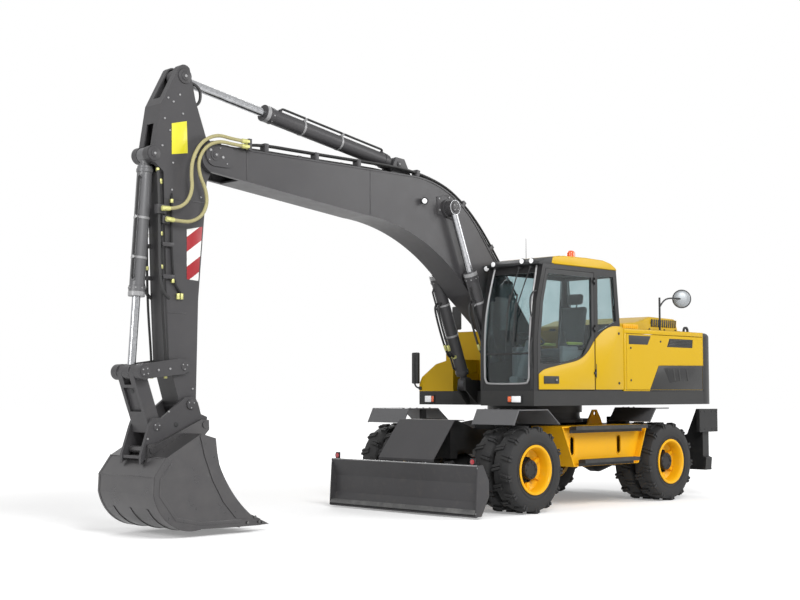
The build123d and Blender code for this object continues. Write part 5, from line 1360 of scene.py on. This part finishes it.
def dress_boom():
    bm = bmesh.new()
    for side in (1, -1):
        for y in (0.130, 0.172):
            add_hose(bm, [(x, side * y, z) for x, z in BOOM_LINE], 0.0145, sides=10)
        for x, z, lean in BOOM_CLAMPS:
            add_block(bm, (x - 0.028, side * 0.151 - 0.045, z - 0.048),
                      (x + 0.028, side * 0.151 + 0.045, z + 0.048), bevel=0.005,
                      turn=turned_y(lean), slot=1)
        add_hose(bm, [(5.040, side * 0.172, 4.098), (5.068, side * 0.172, 4.098),
                      (5.080, side * 0.190, 4.098)], 0.017)
    make_piece("boom_pipes", bm, ["Frame black", "Front grey"], "boom")

    bm = bmesh.new()
    for side in (1, -1):
        for x, low, high in ((3.220, 3.505, 4.062), (5.050, 3.722, 4.052)):
            add_block(bm, (x - 0.007, side * 0.192 - 0.003, low), (x + 0.007, side * 0.192 + 0.003, high),
                      bevel=0.002)
        plate = [(1.760, 3.570), (2.080, 3.640), (2.100, 3.850), (1.900, 3.890), (1.740, 3.760)]
        side_plate(bm, plate, side * 0.200, 0.010, 0.003)
    pin_caps(bm, (((1.920, 3.720), 0.345, 0.062, 0.010, 4), ((5.480, 3.940), 0.212, 0.036, 0.006, 0),
                  ((2.650, 4.200), 0.095, 0.034, 0.008, 0)))
    studs(bm, ((1.790, 3.640), (2.050, 3.690), (2.060, 3.830), (1.880, 3.860), (1.775, 3.740)), 0.200, 0.012)
    studs(bm, ((5.385, 3.924), (5.545, 3.985)), 0.206, 0.016)
    studs(bm, ((5.420, 4.018), (5.330, 3.860), (5.560, 3.880)), 0.206, 0.008)
    make_piece("boom_plates_and_pins", bm, ["Front grey", "Rim trim grey"], "boom")

    bm = bmesh.new()
    # centre, direction that the lamp faces
    for side, centre in ((1, (2.353, 0.246, 3.768)), (-1, (2.353, -0.246, 3.768)),
                         (1, (1.201, 0.222, 3.018))):
        centre, facing = Vector(centre), Vector((0.82, side * 0.42, -0.22)).normalized()
        add_rod(bm, (centre.x - 0.020, side * 0.188, centre.z), centre - facing * 0.010, 0.017, sides=10)
        add_rod(bm, centre - facing * 0.044, centre + facing * 0.012, 0.030, sides=24, end_radius=0.044)
        add_rod(bm, centre + facing * 0.012, centre + facing * 0.024, 0.046, sides=28, bevel=0.004)
        add_rod(bm, centre + facing * 0.020, centre + facing * 0.028, 0.032, sides=28, bevel=0.003, slot=1)
    make_piece("boom_lamps", bm, ["Trim plastic", "Clear lens"], "boom")


def dress_arm():
    bm = bmesh.new()
    for side in (1, -1):
        panel = [(5.795, 3.129), (5.597, 3.172), (5.643, 2.600), (5.788, 2.610)]
        side_plate(bm, panel, side * 0.1485, 0.004, 0.001)
    make_piece("arm_stripe_panels", bm, ["Warning stripes"], "arm")
    bm = bmesh.new()
    side_plate(bm, [(5.998, 4.210), (5.811, 4.259), (5.794, 3.925), (5.993, 3.888)], 0.1490, 0.004, 0.001)
    make_piece("arm_blank_plate", bm, ["Plate yellow"], "arm")

    bm = bmesh.new()
    for side in (1, -1):
        add_hose(bm, [(6.150, side * 0.128, 3.700), (6.115, side * 0.128, 3.537),
                      (6.097, side * 0.128, 2.985),
                      (6.082, side * 0.128, 2.375), (6.020, side * 0.128, 1.760),
                      (6.020, side * 0.128, 1.640)], 0.013)
        add_hose(bm, [(5.985, side * 0.145, 3.480), (6.000, side * 0.166, 3.440),
                      (6.000, side * 0.166, 2.985),
                      (5.965, side * 0.166, 2.560), (5.870, side * 0.166, 2.460),
                      (5.850, side * 0.140, 2.430)], 0.012)
        add_hose(bm, [(6.165, side * 0.154, 3.700), (6.150, side * 0.158, 3.480),
                      (6.140, side * 0.158, 3.020),
                      (6.128, side * 0.158, 2.600), (6.080, side * 0.154, 2.440),
                      (6.000, side * 0.140, 2.400)],
                 0.018, sides=12, slot=2)
        for x, z in ((6.050, 3.320), (6.044, 2.950), (6.032, 2.620)):
            add_block(bm, (x - 0.072, side * 0.146 - 0.004, z - 0.022),
                      (x + 0.068, side * 0.146 + 0.036, z + 0.022), bevel=0.005,
                      slot=1)
        add_block(bm, (6.085, side * 0.165 - 0.034, 3.255), (6.190, side * 0.165 + 0.034, 3.352), bevel=0.006,
                  slot=1)
        add_block(bm, (6.040, side * 0.160 - 0.036, 3.160), (6.120, side * 0.160 + 0.036, 3.240), bevel=0.006,
                  slot=1)
    add_hose(bm, [(5.740, 0.100, 4.430), (5.640, 0.104, 4.450), (5.600, 0.104, 4.560), (5.640, 0.104, 4.670),
                  (5.760, 0.100, 4.690)],
             0.016, sides=12, slot=2)
    make_piece("arm_pipes", bm, ["Frame black", "Front grey", "Hose rubber"], "arm")

    bm = bmesh.new()
    # centre, y of the seat, radius, thickness, bolts
    pin_caps(bm, (((5.840, 4.730), 0.145, 0.080, 0.012, 0), ((5.840, 4.730), 0.157, 0.046, 0.008, 0),
                  ((6.210, 3.870), 0.145, 0.074, 0.012, 0), ((6.210, 3.870), 0.157, 0.040, 0.008, 0),
                  ((5.750, 1.320), 0.195, 0.052, 0.006, 3)))
    studs(bm, ((6.019, 4.135), (5.977, 3.802), (5.987, 3.520), (6.045, 4.470), (5.979, 4.439), (5.901, 4.523),
               (5.860, 4.330),
               (6.085, 4.250), (6.110, 3.965), (5.690, 3.900), (5.620, 3.480), (5.700, 1.480)), 0.145, 0.011)
    for side in (1, -1):
        add_block(bm, (5.790, side * 0.146 - 0.002, 2.250), (6.020, side * 0.146 + 0.002, 2.262), bevel=0.001)
        add_block(bm, (5.560, side * 0.146 - 0.002, 3.420), (6.070, side * 0.146 + 0.002, 3.432), bevel=0.001)
    make_piece("arm_pins_and_seams", bm, ["Front grey", "Rim trim grey"], "arm")

    bm = bmesh.new()
    # x, y, z and length along z of each brass nut
    for x, y, z, tall in ((6.115, 0.128, 3.570, 0.05), (6.100, 0.128, 3.040, 0.04),
                          (6.090, 0.128, 2.700, 0.04),
                          (6.020, 0.125, 1.640, 0.05), (6.020, 0.125, 1.585, 0.03),
                          (6.000, 0.166, 3.380, 0.04),
                          (5.975, 0.166, 2.560, 0.04), (6.150, 0.128, 3.690, 0.04),
                          (5.862, 0.163, 2.395, 0.06),
                          (5.905, 0.163, 2.395, 0.06)):
        for side in (1, -1):
            add_rod(bm, (x, side * y, z), (x, side * y, z + tall), 0.0185, sides=6, bevel=0.002)
    make_piece("arm_fittings", bm, ["Fitting brass"], "arm")


def dress_linkage():
    bm = bmesh.new()
    pin_caps(bm, (((6.350, 1.650), 0.250, 0.054, 0.008, 4), ((5.830, 1.710), 0.187, 0.046, 0.006, 3)))
    studs(bm, ((6.150, 1.668), (6.010, 1.682)), 0.187, 0.012)
    make_piece("rocker_pins", bm, ["Front grey", "Rim trim grey"], "rocker")
    bm = bmesh.new()
    run = Vector((-0.190, 0.0, -0.550)).normalized()
    face = Vector((-run.z, 0.0, run.x)) * -1.0
    middle = Vector((6.262, 0.0, 1.385))
    for shift, thick in ((0.036, 0.010), (-0.036, 0.010)):
        place = middle + face * shift
        add_block(bm, (place.x - thick / 2, -0.108, place.z - 0.150),
                  (place.x + thick / 2, 0.108, place.z + 0.150), bevel=0.002,
                  turn=turned_y(19))
    # a thin dark disc on the cover, painted as the shade inside the cover's hole
    hole = middle + face * -0.041 - run * 0.090
    add_rod(bm, hole, hole + face * -0.004, 0.026, sides=24, slot=1)
    make_piece("link_cover", bm, ["Front grey", "Trim plastic"], "link")
    bm = bmesh.new()
    pin_caps(bm, (((6.160, 1.100), 0.187, 0.044, 0.006, 3), ((5.590, 1.112), 0.187, 0.040, 0.006, 0),
                  ((6.235, 0.872), 0.187, 0.040, 0.006, 0)))
    studs(bm, ((5.928, 1.118), (6.060, 0.930), (5.850, 0.960)), 0.184, 0.026, slot=2)
    studs(bm, ((5.700, 1.030), (6.020, 1.250), (6.270, 0.980), (5.780, 0.900)), 0.187, 0.010)
    make_piece("coupler_pins", bm, ["Front grey", "Rim trim grey", "Trim plastic"], "bucket")


def dress_bucket():
    bm = bmesh.new()
    heel = arc_points((5.840, 0.080), (6.200, 0.150), (6.400, 0.440), 14)
    for y in (-0.300, 0.0, 0.300):
        band_along(bm, heel[2:12][::-1], y, 0.026, 0.007)
    for y in (-0.482, 0.482):
        band_along(bm, (heel + [(6.395, 0.620), (6.260, 0.800)])[::-1], y, 0.030, 0.004)
    for x, z in ((6.262, 0.800), (6.397, 0.612), (5.840, 0.078), (5.345, 0.068)):
        add_rod(bm, (x, -0.496, z), (x, 0.496, z), 0.006, sides=8)
    for side in (1, -1):
        strip = [(5.330, 0.110), (5.840, 0.118), (6.140, 0.176), (6.340, 0.430), (6.330, 0.600),
                 (6.205, 0.750), (6.180, 0.725),
                 (6.298, 0.590), (6.305, 0.440), (6.118, 0.208), (5.838, 0.152), (5.330, 0.144)]
        side_plate(bm, strip, side * 0.504, 0.006, 0.002)
        for x, z in ((5.100, 0.105), (5.250, 0.105), (5.155, 0.160)):
            add_rod(bm, (x, side * 0.506, z), (x, side * 0.515, z), 0.016, sides=6, bevel=0.002, slot=1)
    for y in (-0.430, -0.215, 0.0, 0.215, 0.430):
        add_rod(bm, (5.030, y - 0.050, 0.094), (5.030, y + 0.050, 0.094), 0.011, sides=10, slot=1)
    make_piece("bucket_ribs_and_welds", bm, ["Bucket steel", "Worn steel"], "bucket")


# piece, body, lower pin, eye, barrel's end along the cylinder, barrel radius, side that the pipe
# lies on, coat; a row whose name has a gap in it is made on both sides
BARRELS = (
    ("boom_barrel_dress_{}", "boom_cylinder_barrel", (1.050, 0.295, 1.550), (1.920, 0.295, 3.720), 1.500,
     0.080,
     (1, 0.25, 0), "Front grey"),
    ("arm_barrel_dress", "arm_cylinder_barrel", (2.650, 0.0, 4.200), (5.840, 0.0, 4.730), 2.060, 0.088,
     (0, 0.6, 1), "Front grey"),
    ("bucket_barrel_dress", "bucket_cylinder_barrel", (6.210, 0.0, 3.870), (6.350, 0.0, 1.650), 1.462, 0.078,
     (1, 0.5, 0), "Cylinder grey"),
    ("blade_barrel_dress_{}", "blade_cylinder_barrel", (2.080, 0.120, 0.985), (2.300, 0.120, 0.430), 0.385,
     0.050,
     (1, 0, 0), "Front grey"),
    ("stabiliser_barrel_dress_{}", "stabiliser_{}_cylinder_barrel", (-2.270, 0.250, 0.930),
     (-2.270, 0.880, 0.800),
     0.480, 0.050, (0, 0, 1), "Frame black"),
)


def dress_barrels():
    for name, body, base, eye, end, radius, side, coat in BARRELS:
        for label, hand in (("left", 1), ("right", -1)) if "{}" in name else (("", 1),):
            base_here, eye_here, side_here = (Vector((point[0], hand * point[1],
                                                      point[2])) for point in (base, eye, side))
            dress_barrel(name.format(label), body.format(label), base_here, eye_here, end, radius, side_here,
                         coat)


def dress_barrel(name, body, base, eye, end, radius, side, coat):
    """Collars, head bolts and, but for a stabiliser's, the pressure pipe of one cylinder's barrel."""
    axis = (eye - base).normalized()
    out = (side - axis * side.dot(axis)).normalized()
    piped = "stabiliser" not in body
    bm = bmesh.new()
    scale = radius / 0.08
    # start and end along the barrel, how proud of it, material
    for start, stop, proud, slot in ((0.15 * scale, 0.19 * scale, 0.008, 0),
                                     (end - 0.115 * scale, end - 0.060 * scale, 0.006, 0),
                                     (end - 0.052 * scale, end - 0.004, 0.008, 1),
                                     (end * 0.44, end * 0.44 + 0.026, 0.004, 1),
                                     (end * 0.72, end * 0.72 + 0.026, 0.004, 1)):
        add_turned(bm, [(radius - 0.003, start), (radius + proud - 0.003, start),
                        (radius + proud, start + 0.004),
                        (radius + proud, stop - 0.004), (radius + proud - 0.003, stop),
                        (radius - 0.003, stop)], base, axis,
                   sides=40, slot=slot)
    for index in range(8):
        spoke = (Matrix.Rotation(math.tau * (index + 0.5) / 8, 3, axis) @ out) * (radius + 0.003)
        mark = base + axis * (end - 0.088 * scale) + spoke
        add_rod(bm, mark, mark + spoke.normalized() * 0.007, 0.009 * scale, sides=6, slot=1)
    lift = radius + 0.030 * scale
    places = ((0.24 * scale, radius - 0.01), (0.24 * scale, lift), (0.30 * scale, lift), (end * 0.5, lift),
              (end - 0.24 * scale, lift), (end - 0.18 * scale, lift), (end - 0.18 * scale, radius - 0.01))
    if piped:
        add_hose(bm, [base + axis * along + out * high for along, high in places], 0.012 * scale, sides=10,
                 slot=2)
    for along in (0.24 * scale, end - 0.18 * scale):
        add_rod(bm, base + axis * along + out * (radius - 0.006),
                base + axis * along + out * (radius + 0.014), 0.022 * scale,
                sides=6, bevel=0.002, slot=0)
    for along in (end * 0.44 + 0.013, end * 0.72 + 0.013) if piped else ():
        add_rod(bm, base + axis * along + out * (radius - 0.004),
                base + axis * along + out * (lift + 0.014 * scale),
                0.021 * scale, sides=4, bevel=0.003, slot=1)
    make_piece(name, bm, [coat, "Rim trim grey", "Frame black"], body)


def dress_rod_eyes():
    # piece, body, eye (x, z), middles across the machine, radius, half width
    for name, body, eye, middles, radius, half in (
            ("boom_rod_eyes", "boom_cylinder_rod", (1.920, 3.720), (0.295, -0.295), 0.090, 0.050),
            ("arm_rod_eye", "arm_cylinder_rod", (5.840, 4.730), (0.0,), 0.090, 0.055),
            ("bucket_rod_eye", "bucket_cylinder_rod", (6.350, 1.650), (0.0,), 0.078, 0.055)):
        bm = bmesh.new()
        for y in middles:
            add_turned(bm, [(radius - 0.040, -half - 0.0015), (radius - 0.004, -half - 0.0015),
                            (radius + 0.0015, -half + 0.003),
                            (radius + 0.0015, half - 0.003), (radius - 0.004, half + 0.0015),
                            (radius - 0.040, half + 0.0015)],
                       (eye[0], y, eye[1]), (0, 1, 0), sides=40)
        make_piece(name, bm, ["Front grey"], body)


def dress_boom_hoses():
    """Two hoses in front of each boom cylinder's barrel."""
    bm = bmesh.new()
    axis = Vector((0.87, 0.0, 2.17)).normalized()
    out = Vector((axis.z, 0.0, -axis.x))
    for side in (1, -1):
        for shift, reach in ((0.032, 0.0), (-0.032, 0.012)):
            base = Vector((1.050, side * (0.295 + shift), 1.550))
            # distance along the barrel, height over its axis
            places = ((0.400, 0.060), (0.410, 0.120), (0.520, 0.150 + reach), (0.800, 0.160 + reach),
                      (1.060, 0.150 + reach), (1.130, 0.120), (1.140, 0.060))
            add_hose(bm, [base + axis * along + out * high for along, high in places], 0.014, sides=12)
            add_rod(bm, base + axis * 0.405 + out * 0.068, base + axis * 0.407 + out * 0.108, 0.021, sides=6,
                    bevel=0.002, slot=1)
            add_rod(bm, base + axis * 0.520 + out * (0.140 + reach),
                    base + axis * 0.600 + out * (0.148 + reach), 0.021, sides=6,
                    bevel=0.002, slot=1)
    make_piece("boom_barrel_hoses", bm, ["Hose rubber", "Fitting brass"], "boom_cylinder_barrel")


# Undercarriage

class EXCAVATOR_OT_undercarriage(bpy.types.Operator):
    """Dress the blade, fenders, steps, side frames, stabilisers and tail"""

    bl_idname = "excavator.undercarriage"
    bl_label = "Undercarriage dress"

    def execute(self, context):
        dress_blade()
        dress_fenders()
        dress_steps()
        dress_side_frames()
        dress_stabilisers()
        dress_tail()
        return {"FINISHED"}


def dress_blade():
    bm = bmesh.new()
    add_rod(bm, (2.527, -1.232, 0.606), (2.527, 1.232, 0.606), 0.008, sides=10)
    for side in (1, -1):
        edge = ((2.559, 0.060), (2.466, 0.196), (2.466, 0.396), (2.529, 0.590))
        for first, last in zip(edge, edge[1:]):
            add_rod(bm, (first[0] + 0.004, side * 1.238, first[1]), (last[0] + 0.004, side * 1.238, last[1]),
                    0.006, sides=8)
        y = side * 1.150
        add_block(bm, (2.500, y - 0.040, 0.600), (2.510, y + 0.040, 0.690), bevel=0.003, slot=1)
        add_rod(bm, (2.506, y, 0.650), (2.518, y, 0.650), 0.042, sides=28, bevel=0.003, slot=1)
        add_rod(bm, (2.516, y, 0.650), (2.522, y, 0.650), 0.030, sides=28, bevel=0.002, slot=2)
    add_block(bm, (2.540, -1.226, 0.050), (2.562, 1.226, 0.110), bevel=0.004, turn=turned_y(-30), slot=3)
    for index in range(12):
        y = -1.10 + 0.2 * index
        add_rod(bm, (2.536, y, 0.085), (2.556, y, 0.098), 0.014, sides=6, bevel=0.002, slot=3)
    make_piece("blade_edges", bm, ["Rim trim grey", "Frame black", "Red reflector", "Worn steel"], "blade")


def dress_fenders():
    bm = bmesh.new()
    front = ((1.034, 1.060), (1.263, 1.237), (1.804, 1.237), (1.897, 1.060))
    rear = ((-1.310, 1.237), (-1.007, 1.237), (-0.865, 1.060))
    for side in (1, -1):
        for line in (front, rear):
            for first, last in zip(line, line[1:]):
                for y in (0.588, 1.242):
                    add_rod(bm, (first[0], side * y, first[1] - 0.005), (last[0], side * y, last[1] - 0.005),
                            0.008, sides=8)
        for x in (1.300, 1.420, 1.540, 1.660, 1.780, -1.040, -1.160, -1.280):
            add_rod(bm, (x, side * 0.700, 1.234), (x, side * 0.700, 1.246), 0.013, sides=6, bevel=0.002)
    make_piece("fender_lips", bm, ["Cylinder grey"], "chassis")


def dress_steps():
    bm = bmesh.new()
    for side in (1, -1):
        for start, stop, top in ((-0.830, 0.700, 1.015), (-0.640, 0.520, 0.600)):
            x = start + 0.012
            while x < stop - 0.02:
                add_block(bm, (x, side * 1.190 - 0.044, top - 0.002),
                          (x + 0.018, side * 1.190 + 0.044, top + 0.007), bevel=0.0)
                x += 0.045
            add_rod(bm, (start, side * 1.237, top + 0.002), (stop, side * 1.237, top + 0.002), 0.005, sides=8)
    make_piece("step_treads", bm, ["Step grating"], "chassis")


def dress_side_frames():
    bm = bmesh.new()
    for side in (1, -1):
        # folded edges of the slanted ends, then the rims of the web's slots
        for low, high in (((0.606, 0.522), (0.838, 1.014)), ((-0.756, 0.522), (-0.952, 1.014))):
            add_rod(bm, (low[0], side * 1.127, low[1]), (high[0], side * 1.127, high[1]), 0.010, sides=10)
        for x in (0.560, -0.420):
            ring = [(x + 0.050 * math.cos(a), (0.845 if math.sin(a) >= 0 else 0.695) + 0.050 * math.sin(a))
                    for a in (math.tau * i / 24 for i in range(24))]
            for first, last in zip(ring, ring[1:] + ring[:1]):
                add_rod(bm, (first[0], side * 1.062, first[1]), (last[0], side * 1.062, last[1]), 0.007,
                        sides=6)
    make_piece("side_frame_posts", bm, ["Chassis yellow"], "chassis")


def dress_stabilisers():
    for name, side in (("left", 1), ("right", -1)):
        bm = bmesh.new()
        add_block(bm, (-2.360, side * 1.130 - 0.110, 0.372), (-2.180, side * 1.130 + 0.110, 0.392),
                  bevel=0.006)
        for x in (-2.460, -2.360, -2.180, -2.080):
            for z in (0.930, 1.178):
                add_rod(bm, (x, side * 1.250, z), (x, side * 1.2585, z), 0.014, sides=6, bevel=0.002)
        make_piece("stabiliser_bolts_" + name, bm, ["Frame black"], "stabiliser_" + name)


def dress_tail():
    bm = bmesh.new()
    for side in (1, -1):
        for y, low, high, half, slot in ((0.95, 1.66, 1.78, 0.15, 1), (0.95, 1.675, 1.765, 0.085, 0),
                                         (0.50, 1.700, 1.745, 0.06, 2)):
            angle = math.asin(y / 2.76)
            reach = 2.757 + (0.006 if slot != 1 else 0.0)
            middle = (-reach * math.cos(angle), side * reach * math.sin(angle))
            add_block(bm, (middle[0] - 0.008, middle[1] - half, low),
                      (middle[0] + 0.008, middle[1] + half, high), bevel=0.004,
                      turn=turned_z(-side * math.degrees(angle)), slot=slot)
        add_rod(bm, (-2.45, side * 0.60, 2.262), (-2.45, side * 0.60, 2.276), 0.045, sides=24, bevel=0.003,
                slot=1)
    make_piece("tail_lamps", bm, ["Red reflector", "Trim plastic", "Amber lens"], "house")


class EXCAVATOR_PT_panel(bpy.types.Panel):
    """Lists the steps that build the excavator's finish"""

    bl_idname = "EXCAVATOR_PT_panel"
    bl_label = "Excavator"
    bl_space_type = "VIEW_3D"
    bl_region_type = "UI"
    bl_category = "Excavator"

    def draw(self, context):
        layout = self.layout
        for step in STEPS:
            layout.operator(step.bl_idname)
        for group in (context.scene.excavator_studio, context.scene.excavator_paint,
                      context.scene.excavator_detail):
            for name in group.bl_rna.properties.keys():
                if name not in ("rna_type", "name"):
                    layout.prop(group, name)


STEPS = (
    EXCAVATOR_OT_finishes,
    EXCAVATOR_OT_stage,
    EXCAVATOR_OT_hoses,
    EXCAVATOR_OT_tyres,
    EXCAVATOR_OT_wheels,
    EXCAVATOR_OT_covers,
    EXCAVATOR_OT_cab,
    EXCAVATOR_OT_cab_inside,
    EXCAVATOR_OT_front,
    EXCAVATOR_OT_undercarriage,
)
GROUPS = (StudioSettings, PaintSettings, DetailSettings)


def register():
    for group in GROUPS:
        bpy.utils.register_class(group)
    scene = bpy.types.Scene
    scene.excavator_studio = PointerProperty(type=StudioSettings)
    scene.excavator_paint = PointerProperty(type=PaintSettings)
    scene.excavator_detail = PointerProperty(type=DetailSettings)
    for step in STEPS:
        bpy.utils.register_class(step)
    bpy.utils.register_class(EXCAVATOR_PT_panel)


def unregister():
    bpy.utils.unregister_class(EXCAVATOR_PT_panel)
    for step in reversed(STEPS):
        bpy.utils.unregister_class(step)
    scene = bpy.types.Scene
    del scene.excavator_studio, scene.excavator_paint, scene.excavator_detail
    for group in reversed(GROUPS):
        bpy.utils.unregister_class(group)


def main():
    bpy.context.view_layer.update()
    register()
    for step in STEPS:
        area, name = step.bl_idname.split(".")
        getattr(getattr(bpy.ops, area), name)()


if __name__ == "__main__":
    main()
